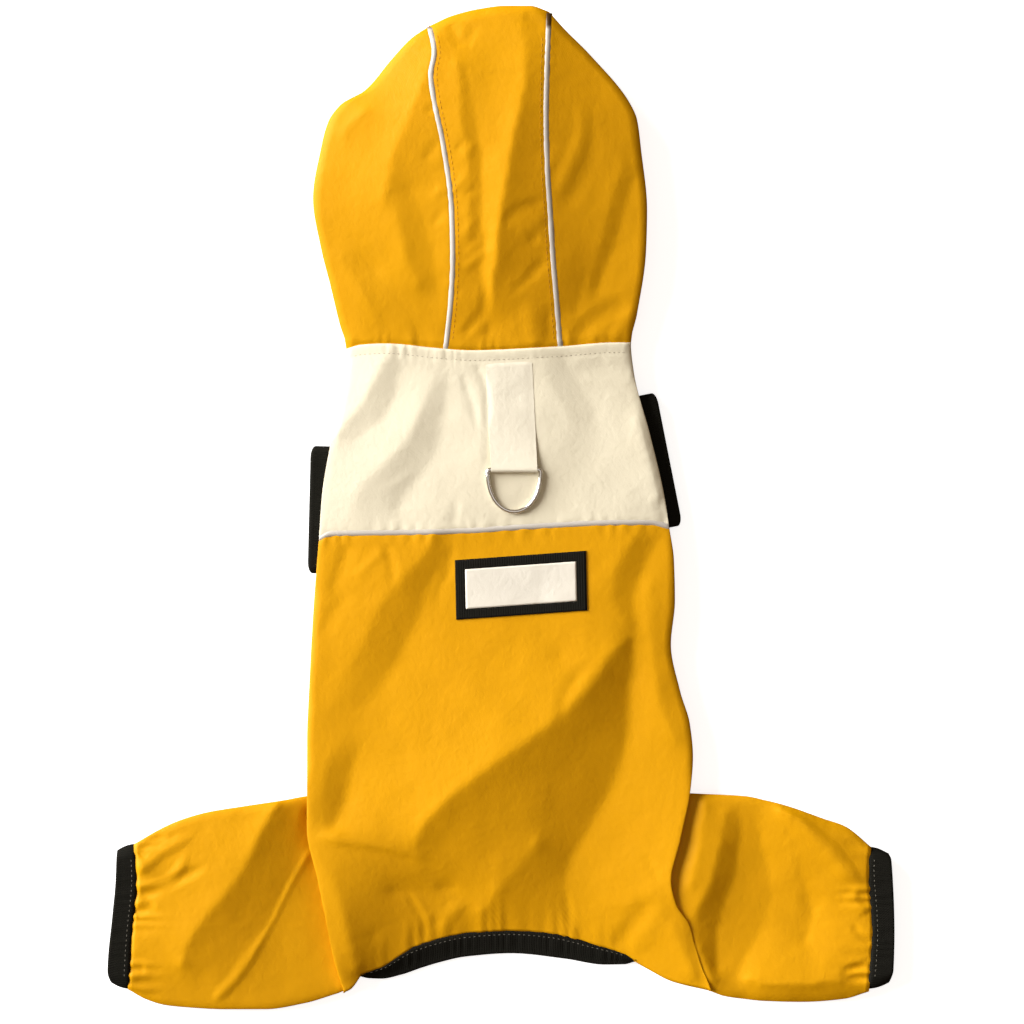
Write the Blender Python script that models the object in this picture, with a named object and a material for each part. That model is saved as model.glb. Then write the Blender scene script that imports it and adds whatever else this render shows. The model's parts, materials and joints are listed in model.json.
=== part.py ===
"""A dog raincoat with a hood and rear trouser legs, laid flat with its back up.

Every cloth piece is a thin wall: a grid of columns and rows is laid over the piece's cut shape, and each
grid point is moved to its place on the garment's outer surface. A Solidify modifier then gives the wall.
Lengths in the tables are millimetres. +Y points from the tail to the hood, +Z is up.
"""

import math

import bmesh
import bpy
from mathutils import Vector
from mathutils.bvhtree import BVHTree

MM = 0.001

# Driving dimensions
CLOTH = 1.0  # wall of the coated cloth
BINDING = 2.0  # wall of the folded elastic binding
SEAM = 0.3  # gap between two pieces at a seam
PIPED_SEAM = 0.6  # gap between the yoke and the back, under the piping
LIFT = 0.5  # gap under what is sewn on top of a panel
BELLY_INSET = 10.0  # the belly pieces start this far inside the outline
LEG_TUCK = 9.7  # the legs reach this far under the back panel
SIDE_ROUND = 5.0  # how far in the underside of a side fold curves, at most
FOLD_SHARE = 0.42  # height of a side fold's outermost line, as a share of the panel's height
TAPE_WIDTH = 23.2
RING_INSIDE = 24.2
RING_WIRE = 2.3


class Track:
    """A smooth curve through the rows of a short table (position, value)."""

    def __init__(self, *rows):
        rows = sorted(rows)
        self.at = [row[0] for row in rows]
        self.value = [row[1] for row in rows]
        steps = [
            (self.value[i + 1] - self.value[i]) / (self.at[i + 1] - self.at[i])
            for i in range(len(rows) - 1)
        ]
        self.slope = [steps[0]]
        for before, after in zip(steps, steps[1:]):
            turning = before * after <= 0
            self.slope.append(0 if turning else 2 * before * after / (before + after))
        self.slope.append(steps[-1])

    def __call__(self, position):
        t = min(max(position, self.at[0]), self.at[-1])
        i = max(k for k in range(len(self.at) - 1) if self.at[k] <= t)
        width = self.at[i + 1] - self.at[i]
        s = (t - self.at[i]) / width
        start, end = self.value[i], self.value[i + 1]
        pull_start, pull_end = self.slope[i] * width, self.slope[i + 1] * width
        return (
            start * (1 + 2 * s) * (1 - s) ** 2
            + pull_start * s * (1 - s) ** 2
            + end * s * s * (3 - 2 * s)
            - pull_end * s * s * (1 - s)
        )


# Outline of the coat seen from above: (y, x) down the left and the right side
OUTLINE_LEFT = Track(
    (241, -35.5), (235, -44.5), (224, -55), (209, -68), (202, -80), (193, -86.5), (180, -90),
    (155, -94), (130, -90), (112, -85.5), (93, -81), (80, -77.5), (67, -78.5), (34, -85),
    (7, -89.5), (-14, -91), (-53, -94), (-91, -96), (-116, -97), (-160, -97), (-186, -91.5),
    (-206, -87.5), (-226, -83.5), (-241, -79),
)
OUTLINE_RIGHT = Track(
    (248, 24), (239, 32), (227, 44), (203, 64), (194, 68), (179, 70), (149, 73), (129, 72.5),
    (97, 68), (83, 65), (68, 66.5), (37, 74.5), (7, 81.5), (-9, 84), (-26, 86.5), (-46, 87),
    (-68, 85), (-91, 89.5), (-108, 94.5), (-124, 96), (-138, 95), (-166, 89.5), (-186, 85),
    (-198, 87.5), (-208, 94.5), (-218, 101.5), (-230, 105), (-241, 104.5),
)
# Lines across the coat: (x, y)
CROWN_LINE = Track((-35.5, 241), (-24.5, 246), (-10.5, 249.5), (2, 251), (14.5, 251), (24, 248))
NECK_SEAM = Track(
    (-77.5, 80), (-69.5, 82), (-58, 82.5), (-30.5, 80), (-15.5, 79), (29.5, 81), (57, 83), (65, 83)
)
YOKE_SEAM = Track(
    (-91, -15), (-84.5, -12.5), (-50, -12), (-14.5, -11), (14.5, -9), (62, -7), (74.5, -7), (84, -9)
)
HEM_LINE = Track(
    (-79, -239), (-75, -237), (-71, -230), (-66, -226), (-54.5, -223), (-38, -217.5), (-18, -213.5),
    (5, -212), (24.5, -213.5), (44.5, -218.5), (62, -224), (74.5, -231), (85.5, -236.5), (104.5, -240),
)
HEM_EDGE = Track(
    (-70, -236), (-58, -235.5), (-38, -229), (-18, -225), (5, -223.3), (32, -226), (52, -229), (66, -229)
)
# Seams of the hood's middle panel: (y, x)
HOOD_SEAM = {
    "left": Track(
        (79, -27.7), (104, -25), (124, -24), (148, -24.5), (180, -28.5), (207, -33.3), (226, -34),
        (241, -35.5),
    ),
    "right": Track(
        (79, 29.7), (101, 28), (124, 26), (148, 24.5), (172, 23), (195, 22.5), (219, 23), (248, 24)
    ),
}
# Rear legs: top and bottom outline (x, y), then the cuff's inner and outer edge (y, x)
LEG = {
    "left": {
        "top": Track(
            (-187, -170), (-167.5, -159), (-157.5, -155), (-146.5, -152), (-128, -149),
            (-108, -146), (-96.5, -144), (-75, -142.5),
        ),
        "bottom": Track(
            (-187, -241), (-178, -246), (-168, -249), (-158, -250), (-138, -251), (-118, -251),
            (-98, -248), (-86, -245), (-69, -240),
        ),
        "cuff_inside": Track((-169, -184), (-186, -182.8), (-212, -185.2), (-241, -187)),
        "cuff_outside": Track((-172, -192.5), (-187, -193), (-203, -194.5), (-232, -197), (-238, -195.5)),
        "outline": OUTLINE_LEFT,
        "inward": 1,
    },
    "right": {
        "top": Track(
            (187, -171), (172, -159), (162, -155.5), (142, -148.5), (132, -146), (122, -144),
            (102, -143), (75, -142),
        ),
        "bottom": Track(
            (187, -241), (182, -243), (172, -246), (152, -247.5), (132, -247), (122, -246),
            (112, -244.5), (95, -241),
        ),
        "cuff_inside": Track((-170, 185.5), (-181, 184.5), (-211, 186.5), (-241, 184.5)),
        "cuff_outside": Track((-172, 194), (-176, 195.5), (-213, 197), (-231, 196.5), (-238, 194.5)),
        "outline": OUTLINE_RIGHT,
        "inward": -1,
    },
}

# Heights above the surface that the coat lies on
BODY_HEIGHT = Track(  # (y, top of the coat along its ridge)
    (251, 15), (235, 18.5), (215, 23.5), (190, 27.5), (150, 29), (115, 24), (95, 16.5), (80, 12.5),
    (40, 12.8), (0, 13.8), (-60, 14.5), (-110, 15.5), (-150, 17), (-200, 16.8), (-240, 15),
)
RIDGE_LINE = Track(  # (y, x of the ridge)
    (251, 4), (200, 4), (150, 0), (100, -5), (60, -14), (0, -20), (-100, -18), (-240, -5)
)
SIDE_SLOPE = Track(  # (y, share of its height that the top loses from the ridge to the sides)
    (251, 0.1), (225, 0.3), (190, 0.42), (120, 0.42), (90, 0.25), (60, 0.14), (-240, 0.14)
)
EDGE_REACH = Track(  # (y, how far the top of the coat rounds off from its outline)
    (251, 15), (200, 19), (150, 20), (115, 18), (80, 15), (-100, 15), (-240, 13)
)
SIDE_LIP = Track((-90, 13), (-140, 9), (-225, 8), (-240, 6))  # (y, width of the turned-in side)
HEM_HEIGHT = Track(  # (x, top of the cloth at the rear hem)
    (-79, 13.8), (-73, 13.2), (-65, 7), (-55, 3.8), (50, 3.6), (70, 3.8), (86, 5.5), (97, 12.8), (105, 13.6)
)
HEM_REACH = 34.0  # the back falls to its hem over this length
UNDERLAY = {  # (y, underside of the turned-in side), above the belly, the front cuffs and the legs
    "left": Track(
        (100, 0), (84, 1.3), (44, 1.3), (34, 7.8), (-35, 7.8), (-45, 1.3), (-118, 1.3), (-141, 9.8),
        (-228, 9.8), (-241, 9.2),
    ),
    "right": Track(
        (100, 0), (84, 1.3), (70, 1.3), (60, 7.8), (-12, 7.8), (-22, 1.3), (-118, 1.3), (-141, 9.8),
        (-228, 9.8), (-241, 9.2),
    ),
}
LEG_HEIGHT = Track((75, 9), (104, 9.2), (116, 11.8), (140, 13.5), (165, 12), (187, 9))  # (|x|, top)
LEG_REACH = 16.0  # how far the top of a leg rounds off from its outline
CUFF_HEIGHT = 9.4

# The largest folds. Each runs from the tail towards the hood, or else from left to right: height, reach to
# the left of the line, reach to its right, then the line's points (x, y).
FOLDS = (
    (2.4, 22, 10, (-63, 149), (-55, 167), (-50.5, 189), (-41.5, 209), (-34.5, 227)),
    (-2.2, 9, 10, (-34, 104), (-43, 134), (-44.5, 159), (-38, 189), (-33.5, 207)),
    (-2.0, 12, 12, (-41.5, 82), (-53, 102), (-70.5, 123)),
    (1.6, 9, 8, (-30.5, 87), (-43, 114), (-55.5, 137)),
    (-1.8, 8, 10, (-9, 134), (-11.5, 179), (-13, 199), (-19, 222)),
    (3.0, 11, 12, (-5.5, 92), (-1.5, 124), (5, 172), (12, 214), (10, 239)),
    (1.8, 7, 7, (28, 156), (36, 174), (41, 189), (38.5, 204)),
    (2.2, 10, 8, (32, 87), (44.5, 122), (54.5, 154), (59.5, 174)),
    (-2.0, 7, 9, (48, 109), (52, 124), (60.5, 142), (69.5, 157)),
    (-1.8, 7, 7, (29.5, 104), (33, 124), (37, 152), (49.5, 179)),
    (-1.4, 6, 8, (-81.5, 34), (-66.5, 48), (-61.5, 57), (-53, 75)),
    (-2.0, 7, 9, (-71.5, -8), (-66.5, 12), (-43, 32), (-32, 54), (-29, 67)),
    (-1.6, 7, 8, (39.5, 39), (30.5, 54), (22, 69)),
    (-2.4, 9, 12, (-75.5, -91), (-58, -71), (-48, -41), (-23, -13)),
    (1.8, 8, 8, (-88, -78), (-75.5, -66), (-58, -46), (-40.5, -26)),
    (-1.8, 7, 8, (-83, -157), (-81.5, -141), (-75.5, -121)),
    (3.6, 26, 13, (-39.5, -176), (-30.5, -151), (4.5, -128), (29.5, -106), (37, -63)),
    (-3.2, 15, 14, (-15.5, -216), (22, -178), (39.5, -156), (55.5, -96), (62, -66)),
    (2.2, 12, 9, (37, -186), (49.5, -181), (69.5, -156), (75.5, -121), (70.5, -71)),
    (1.4, 14, 12, (-88, -165), (-60.5, -171), (-35.5, -182)),
    (-2.2, 9, 10, (-84, -178), (-60, -192), (-38, -207)),
    (-2.2, 7, 8, (59.5, -218), (69.5, -203), (77, -193)),
    (-1.6, 7, 8, (63.5, -60), (58.5, -38), (69.5, -26), (77, -11)),
    (2.0, 7, 8, (-75.5, -236), (-83, -205), (-91, -168)),
    (3.0, 12, 8, (-146, -248), (-115, -205), (-95, -166)),
    (-2.4, 9, 9, (-160, -230), (-145.5, -211), (-128, -176), (-115, -154)),
    (2.0, 8, 8, (98, -203), (106, -172), (112, -148)),
    (-1.9, 8, 8, (103.5, -236), (107, -196), (114, -156)),
    (2.0, 9, 10, (135, -147), (167, -171), (186, -194)),
)
GATHER_HEIGHT = 0.8  # of the small pleats at the rear hem and the leg cuffs
GATHER_PITCH = 8.2
GATHER_REACH = 24.0


def blend(start, end, share):
    return start + (end - start) * share


def ease(share):
    share = min(max(share, 0.0), 1.0)
    return share * share * (3 - 2 * share)


def rounded(share):
    """Height of a quarter round: 0 at its foot, 1 from its crest on."""
    share = min(max(share, 0.0), 1.0)
    return math.sqrt(1 - (1 - share) ** 2)


def folds(x, y):
    """Sum of the folds' heights at a place on the coat."""
    total = 0.0
    for height, reach_left, reach_right, *line in FOLDS:
        lengths = [math.dist(a, b) for a, b in zip(line, line[1:])]
        nearest, place, walked, reach = math.inf, 0.0, 0.0, reach_left
        for (ax, ay), (bx, by), length in zip(line, line[1:], lengths):
            share = ((x - ax) * (bx - ax) + (y - ay) * (by - ay)) / length**2
            share = min(max(share, 0.0), 1.0)
            distance = math.dist((x, y), (blend(ax, bx, share), blend(ay, by, share)))
            if distance < nearest:
                on_left = (bx - ax) * (y - ay) > (by - ay) * (x - ax)
                nearest, place = distance, (walked + share * length) / sum(lengths)
                reach = reach_left if on_left else reach_right
            walked += length
        if nearest < reach:
            taper = ease(place * 4) * ease((1 - place) * 4)
            total += height * taper * (0.5 + 0.5 * math.cos(math.pi * nearest / reach))
    return total


def side_distances(x, y):
    return x - OUTLINE_LEFT(y), OUTLINE_RIGHT(y) - x


def crown_distance(x, y):
    return CROWN_LINE(x) - y


def underlay(x, y):
    """Lowest height of the coat's turned-in side, blended across the coat."""
    left, right = side_distances(x, y)
    share = min(max(left / (left + right), 0.0), 1.0)
    return blend(UNDERLAY["left"](y), UNDERLAY["right"](y), share)


def fold_line_height(x, y):
    """Height of the outermost line of the side fold."""
    low = underlay(x, y)
    return low + max(1.7, FOLD_SHARE * (BODY_HEIGHT(y) - low))


def ridge_height(x, y):
    """Height of the coat's top between its sides, without folds: it slopes down from the ridge."""
    ridge = RIDGE_LINE(y)
    side = OUTLINE_LEFT(y) if x < ridge else OUTLINE_RIGHT(y)
    off_ridge = min(abs(x - ridge) / abs(side - ridge), 1)
    return BODY_HEIGHT(y) * (1 - SIDE_SLOPE(y) * off_ridge**1.6)


def coat_top(x, y):
    """Height of the coat's outer surface, seen from above."""
    reach = EDGE_REACH(y)
    left, right = side_distances(x, y)
    edge = rounded(left / reach) * rounded(right / reach) * rounded(crown_distance(x, y) / reach)
    low = fold_line_height(x, y)
    high = ridge_height(x, y) + folds(x, y)
    to_hem = (y - HEM_LINE(x)) / HEM_REACH
    if to_hem < 1:
        high = blend(HEM_HEIGHT(x), high, 1 - (1 - max(to_hem, 0)) ** 2)
    return low + (high - low) * edge


def side_round(x, y):
    """How far in from the outline the underside of the fold curves."""
    return min(SIDE_ROUND, 1.2 * (fold_line_height(x, y) - underlay(x, y)))


def coat_under(x, y):
    """Height of the coat's outer surface where it has turned under."""
    low = underlay(x, y)
    inside = min(*side_distances(x, y), crown_distance(x, y))
    return low + (fold_line_height(x, y) - low) * (1 - rounded(inside / side_round(x, y)))


def gathers(along, from_seam):
    """Small pleats that run out from a gathered seam."""
    fade = (1 - ease(from_seam / GATHER_REACH)) ** 2
    return GATHER_HEIGHT * fade * math.cos(math.tau * along / GATHER_PITCH)


# Building


def clear_scene():
    for item in list(bpy.data.objects):
        bpy.data.objects.remove(item, do_unlink=True)


def finish_of(name, colour, roughness, metallic=0.0):
    material = bpy.data.materials.new(name)
    material.use_nodes = True
    shader = material.node_tree.nodes["Principled BSDF"]
    shader.inputs["Base Color"].default_value = (*colour, 1)
    shader.inputs["Roughness"].default_value = roughness
    shader.inputs["Metallic"].default_value = metallic
    return material


def yellow_cloth(name):
    return finish_of(name, (0.85, 0.41, 0.01), 0.5)


def cream_cloth(name):
    return finish_of(name, (0.90, 0.82, 0.62), 0.6)


def black_binding(name):
    return finish_of(name, (0.012, 0.012, 0.014), 0.8)


def reflective_piping(name):
    return finish_of(name, (0.55, 0.56, 0.56), 0.4)


def runs_across(edge, first_row, last_row, first_column, last_column, slack=1e-4):
    """Whether a grid edge runs along a row and lies in the block of rows and columns."""
    start, end = (vert.co for vert in edge.verts)
    middle = (start + end) / 2
    in_rows = first_row - slack <= middle.y <= last_row + slack
    in_columns = first_column - slack <= middle.x <= last_column + slack
    return abs(start.y - end.y) < slack and in_rows and in_columns


def cloth_piece(name, columns, rows, place, material, wall=CLOTH, turn_over=False, finer=(), cut=None):
    """A walled piece: place(column, row) gives the outer surface's point for every grid point.

    finer lists (first row, last row, first column, last column) blocks whose columns are doubled, cut
    takes grid faces out, and turn_over is for a grid whose faces would point to the inside.
    """
    mesh_maker = bmesh.new()
    bmesh.ops.create_grid(mesh_maker, x_segments=columns, y_segments=rows, size=0.5)
    for vert in mesh_maker.verts:
        vert.co = ((vert.co.x + 0.5) * columns, (vert.co.y + 0.5) * rows, 0)
    if cut:
        gone = [face for face in mesh_maker.faces if cut(*face.calc_center_median().xy)]
        bmesh.ops.delete(mesh_maker, geom=gone, context="FACES")
    for block in finer:
        across = [edge for edge in mesh_maker.edges if runs_across(edge, *block)]
        bmesh.ops.subdivide_edges(mesh_maker, edges=across, cuts=1, use_grid_fill=True, use_single_edge=True)
    for vert in mesh_maker.verts:
        vert.co = Vector(place(vert.co.x, vert.co.y)) * MM
    bmesh.ops.remove_doubles(mesh_maker, verts=mesh_maker.verts, dist=0.00001)
    if turn_over:
        bmesh.ops.reverse_faces(mesh_maker, faces=mesh_maker.faces)
    mesh = bpy.data.meshes.new(name)
    mesh_maker.to_mesh(mesh)
    mesh_maker.free()
    mesh.shade_smooth()
    mesh.materials.append(material(name))
    piece = bpy.data.objects.new(name, mesh)
    bpy.context.scene.collection.objects.link(piece)
    wall_maker = piece.modifiers.new("wall", "SOLIDIFY")
    wall_maker.thickness = wall * MM
    wall_maker.offset = -1
    return piece


# The yoke and the back: one sheet over the back and round both sides, cut at the yoke seam

LIP_COLUMNS, TURN_COLUMNS, EDGE_COLUMNS, MIDDLE_COLUMNS = 1, 3, 3, 14
SIDE_COLUMNS = LIP_COLUMNS + TURN_COLUMNS
TOP_COLUMNS = 2 * EDGE_COLUMNS + MIDDLE_COLUMNS
COAT_COLUMNS = 2 * SIDE_COLUMNS + TOP_COLUMNS


def inside_distance(column, x, y):
    """Distance of a side column of the turned-in part from the outline."""
    curved = side_round(x, y)
    if column <= TURN_COLUMNS:
        return curved * (1 - math.cos(math.pi / 2 * column / TURN_COLUMNS))
    return blend(curved, SIDE_LIP(y), (column - TURN_COLUMNS) / LIP_COLUMNS)


def across_share(column, width, reach):
    """Place of a top column between the two outlines, closer together near them."""
    near = min(column, TOP_COLUMNS - column)
    if near <= EDGE_COLUMNS:
        distance = reach * (1 - math.cos(math.pi / 2 * near / EDGE_COLUMNS))
        share = distance / width
    else:
        share = blend(reach / width, 0.5, (near - EDGE_COLUMNS) / (MIDDLE_COLUMNS / 2))
    return share if column * 2 <= TOP_COLUMNS else 1 - share


def coat_place(column, depth, upper_line, lower_line, pleats=False):
    """A point of the coat: column runs left lip, top, right lip, and depth 0 to 1 down the panel."""
    top_column = min(max(column - SIDE_COLUMNS, 0), TOP_COLUMNS)
    x = blend(-80, 80, top_column / TOP_COLUMNS)
    for _ in range(6):
        y = blend(upper_line(x), lower_line(x), depth)
        left, right = OUTLINE_LEFT(y), OUTLINE_RIGHT(y)
        x = blend(left, right, across_share(top_column, right - left, EDGE_REACH(y)))
    if column < SIDE_COLUMNS:
        x = OUTLINE_LEFT(y) + inside_distance(SIDE_COLUMNS - column, x, y)
        return x, y, coat_under(x, y)
    if column > SIDE_COLUMNS + TOP_COLUMNS:
        x = OUTLINE_RIGHT(y) - inside_distance(column - SIDE_COLUMNS - TOP_COLUMNS, x, y)
        return x, y, coat_under(x, y)
    height = coat_top(x, y)
    if pleats:
        inside = ease((x + 72) / 10) * ease((70 - x) / 10)
        height += inside * gathers(x, y - lower_line(x))
    return x, y, height


def below(line, gap):
    return lambda x: line(x) - gap


YOKE_ROWS, BACK_ROWS = 11, 25


def yoke():
    def place(column, row):
        upper, lower = below(NECK_SEAM, SEAM / 2), below(YOKE_SEAM, -PIPED_SEAM / 2)
        return coat_place(column, row / YOKE_ROWS, upper, lower)

    return cloth_piece("yoke", COAT_COLUMNS, YOKE_ROWS, place, cream_cloth, turn_over=True)


def back_panel():
    def place(column, row):
        share = row / BACK_ROWS
        depth = share + 0.06 * math.sin(math.pi * share)
        return coat_place(column, depth, below(YOKE_SEAM, PIPED_SEAM / 2), HEM_LINE, pleats=True)

    first = SIDE_COLUMNS + EDGE_COLUMNS
    middle = (first, first + MIDDLE_COLUMNS)
    finer = ((BACK_ROWS - 3, BACK_ROWS, *middle), (BACK_ROWS - 1, BACK_ROWS, *middle))
    return cloth_piece("back_panel", COAT_COLUMNS, BACK_ROWS, place, yellow_cloth, turn_over=True, finer=finer)


def rear_hem_binding():
    """Folded elastic along the rear hem, from leg to leg."""
    start, end, columns, rows = -67.0, 66.0, 26, 2

    def place(column, row):
        x = blend(start, end, column / columns)
        upper, lower = HEM_LINE(x) - 1.6 * SEAM, HEM_EDGE(x)
        y = blend(upper, lower, row / rows)
        crest = 1.6 * math.sin(math.pi / 2 * (0.3 + 0.7 * row / rows)) * math.cos(math.pi / 2 * row / rows)
        return x, y, blend(HEM_HEIGHT(x), 2.3 + 0.4 * (HEM_HEIGHT(x) - 3.6), row / rows) + 0.4 * crest

    return cloth_piece("rear_hem_binding", columns, rows, place, black_binding, BINDING, turn_over=True)


# The hood

HOOD_ROWS, HOOD_TOP_COLUMNS, HOOD_UNDER_ROWS, HOOD_MIDDLE_COLUMNS = 18, 8, 6, 8
FACE_CENTRE, FACE_HALF_WIDTH, FACE_HALF_HEIGHT = (-9.0, 166.0), 48.0, 58.0
CROWN_GAP = 0.9  # the hood's seams open by this much where they turn over the crown
CHIN_SHARE = 0.15  # share of a side panel's length that is the centre-front seam below the chin
FOREHEAD_ANGLE = 58  # degrees round the face opening where the middle panel starts


def rise(row):
    """Share of the way from neck to crown, with rows closer together near the crown."""
    share = row / HOOD_ROWS
    return 0.55 * share + 0.45 * math.sin(math.pi / 2 * share)


def face_edge(side, share):
    """Edge of the face opening of a side panel, from the neck up."""
    sign = -1 if side == "left" else 1
    chin_y = FACE_CENTRE[1] - FACE_HALF_HEIGHT
    if share < CHIN_SHARE:
        return FACE_CENTRE[0] + sign * SEAM / 2, blend(81.5, chin_y, share / CHIN_SHARE)
    angle = math.radians(blend(-90, FOREHEAD_ANGLE, (share - CHIN_SHARE) / (1 - CHIN_SHARE)))
    x = FACE_CENTRE[0] + sign * max(FACE_HALF_WIDTH * math.cos(angle), SEAM / 2)
    return x, FACE_CENTRE[1] + FACE_HALF_HEIGHT * math.sin(angle)


def hood_seam_point(side, share):
    """A point of the seam between the side and the middle panel, from the neck to the crown."""
    seam = HOOD_SEAM[side]
    neck_y = NECK_SEAM(seam(80)) + SEAM / 2
    y = blend(neck_y, seam.at[-1], share)
    return seam(y), y


def hood_side(side):
    outline = OUTLINE_LEFT if side == "left" else OUTLINE_RIGHT
    sign = -1 if side == "left" else 1
    columns = HOOD_TOP_COLUMNS + HOOD_UNDER_ROWS
    crown_y = HOOD_SEAM[side].at[-1]

    def place(column, row):
        share = rise(row)
        seam_x, seam_y = hood_seam_point(side, share)
        gap = SEAM / 2 + CROWN_GAP * ease((share - 0.85) / 0.15)
        seam_x += sign * gap
        neck_y = NECK_SEAM(outline(80)) + SEAM / 2
        edge_y = blend(neck_y, crown_y, share)
        edge_x = outline(edge_y) + (sign * gap if row == HOOD_ROWS else 0)
        if column <= HOOD_TOP_COLUMNS:
            across = math.sin(math.pi / 2 * column / HOOD_TOP_COLUMNS)
            x, y = blend(seam_x, edge_x, across), blend(seam_y, edge_y, across)
            if row == 0:
                y = NECK_SEAM(x) + SEAM / 2
            return x, y, coat_top(x, y)
        across = 1 - math.cos(math.pi / 2 * (column - HOOD_TOP_COLUMNS) / HOOD_UNDER_ROWS)
        face_x, face_y = face_edge(side, share)
        if row == HOOD_ROWS:
            face_x += sign * SEAM / 2
        x, y = blend(edge_x, face_x, across), blend(edge_y, face_y, across)
        return x, y, coat_under(x, y)

    name = f"hood_{side}"
    return cloth_piece(name, columns, HOOD_ROWS, place, yellow_cloth, turn_over=side == "left")


def hood_center():
    rows = HOOD_ROWS + HOOD_UNDER_ROWS

    def place(column, row):
        across = column / HOOD_MIDDLE_COLUMNS
        share = rise(min(row, HOOD_ROWS))
        (left_x, left_y), (right_x, right_y) = hood_seam_point("left", share), hood_seam_point("right", share)
        x = blend(left_x + SEAM / 2, right_x - SEAM / 2, across)
        neck, crown = NECK_SEAM(x) + SEAM / 2, CROWN_LINE(x)
        y = blend(neck, crown, share)
        if row <= HOOD_ROWS:
            return x, y, coat_top(x, y)
        under = 1 - math.cos(math.pi / 2 * (row - HOOD_ROWS) / HOOD_UNDER_ROWS)
        angle = math.radians(FOREHEAD_ANGLE)
        half_width = FACE_HALF_WIDTH * math.cos(angle) - SEAM / 2
        forehead_x = FACE_CENTRE[0] + half_width * (2 * across - 1)
        rest = (forehead_x - FACE_CENTRE[0]) / FACE_HALF_WIDTH
        forehead_y = FACE_CENTRE[1] + FACE_HALF_HEIGHT * math.sqrt(1 - rest**2)
        x, y = blend(x, forehead_x, under), blend(y, forehead_y, under)
        return x, y, coat_under(x, y)

    return cloth_piece("hood_center", HOOD_MIDDLE_COLUMNS, rows, place, yellow_cloth)


# Piping: a raised cord in a seam, made from the seam's own points

PIPING_WIDTH, PIPING_EDGE, PIPING_CREST = 3.5, 1.5, 2.1


def piping_height(share):
    return blend(PIPING_EDGE, PIPING_CREST, math.sin(math.pi * share))


def yoke_piping():
    first = SIDE_COLUMNS + 1
    columns, rows = COAT_COLUMNS - 2 * first, 3

    def place(column, row):
        x, y, height = coat_place(column + first, 0, YOKE_SEAM, HEM_LINE)
        y += PIPING_WIDTH * (0.5 - row / rows)
        tilt = (coat_top(x + 1, y) - coat_top(x - 1, y)) / 2
        lift = Vector((-tilt, 0, 1)).normalized() * piping_height(row / rows)
        return x + lift.x, y, coat_top(x, y) + lift.z

    return cloth_piece("yoke_piping", columns, rows, place, reflective_piping, turn_over=True)


def hood_piping(side):
    rows = HOOD_ROWS - 1

    def place(column, row):
        x, y = hood_seam_point(side, rise(row))
        x += PIPING_WIDTH * (column / 3 - 0.5)
        y += 0 if row else 0.4
        tilt = (coat_top(x, y + 1) - coat_top(x, y - 1)) / 2
        lift = Vector((0, -tilt, 1)).normalized() * piping_height(column / 3)
        return x, y + lift.y, coat_top(x, y) + lift.z

    return cloth_piece(f"hood_piping_{side}", 3, rows, place, reflective_piping)


# What is sewn on top of the panels


def outer_height(piece):
    """A function that reads the height of a finished panel's top from its own faces."""
    graph = bpy.context.evaluated_depsgraph_get()
    tree = BVHTree.FromObject(piece, graph)
    high, down = 0.1, Vector((0, 0, -1))
    return lambda x, y: tree.ray_cast(Vector((x * MM, y * MM, high)), down)[0].z / MM


RING_CENTRE_X = 6.6
RING_BAR_Y = 19.4
RING_LENGTH = 21.0  # from the bar's centre to the far side's centre
LOOP_INSIDE = RING_WIRE / 2 + SEAM  # radius of the tape's loop round the bar
TAPE_WALL = 1.1
TAPE_TOP_CENTRE_X = 3.9
TAPE_RETURN_Y = 32.0


def ring_bar_height(yoke_top):
    return yoke_top(RING_CENTRE_X, RING_BAR_Y) + LIFT + LOOP_INSIDE + TAPE_WALL


def leash_tab(yoke_top):
    """Tape from the neck seam down to the ring, round its bar and back under itself."""
    flat_rows, loop_rows, return_rows, columns = 9, 8, 2, 4
    rows = flat_rows + loop_rows + return_rows
    outer = LOOP_INSIDE + TAPE_WALL
    bar_z = ring_bar_height(yoke_top)
    top_y = NECK_SEAM(4) - 1.0

    def place(column, row):
        across = column / columns - 0.5
        if row <= flat_rows:
            y = blend(top_y, RING_BAR_Y, row / flat_rows)
            centre = blend(TAPE_TOP_CENTRE_X, RING_CENTRE_X, (top_y - y) / (top_y - RING_BAR_Y))
            x = centre + across * TAPE_WIDTH
            rest = yoke_top(x, y) + LIFT + TAPE_WALL
            lift = 1 - ease((y - RING_BAR_Y) / 30)
            return x, y, blend(rest, bar_z + outer, lift)
        x = RING_CENTRE_X + across * TAPE_WIDTH
        if row <= flat_rows + loop_rows:
            angle = math.pi * (row - flat_rows) / loop_rows
            return x, RING_BAR_Y - outer * math.sin(angle), bar_z + outer * math.cos(angle)
        y = blend(RING_BAR_Y, TAPE_RETURN_Y, (row - flat_rows - loop_rows) / return_rows)
        return x, y, max(bar_z - outer, yoke_top(x, y) + LIFT)

    return cloth_piece("leash_tab", columns, rows, place, cream_cloth, TAPE_WALL, turn_over=True)


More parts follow.
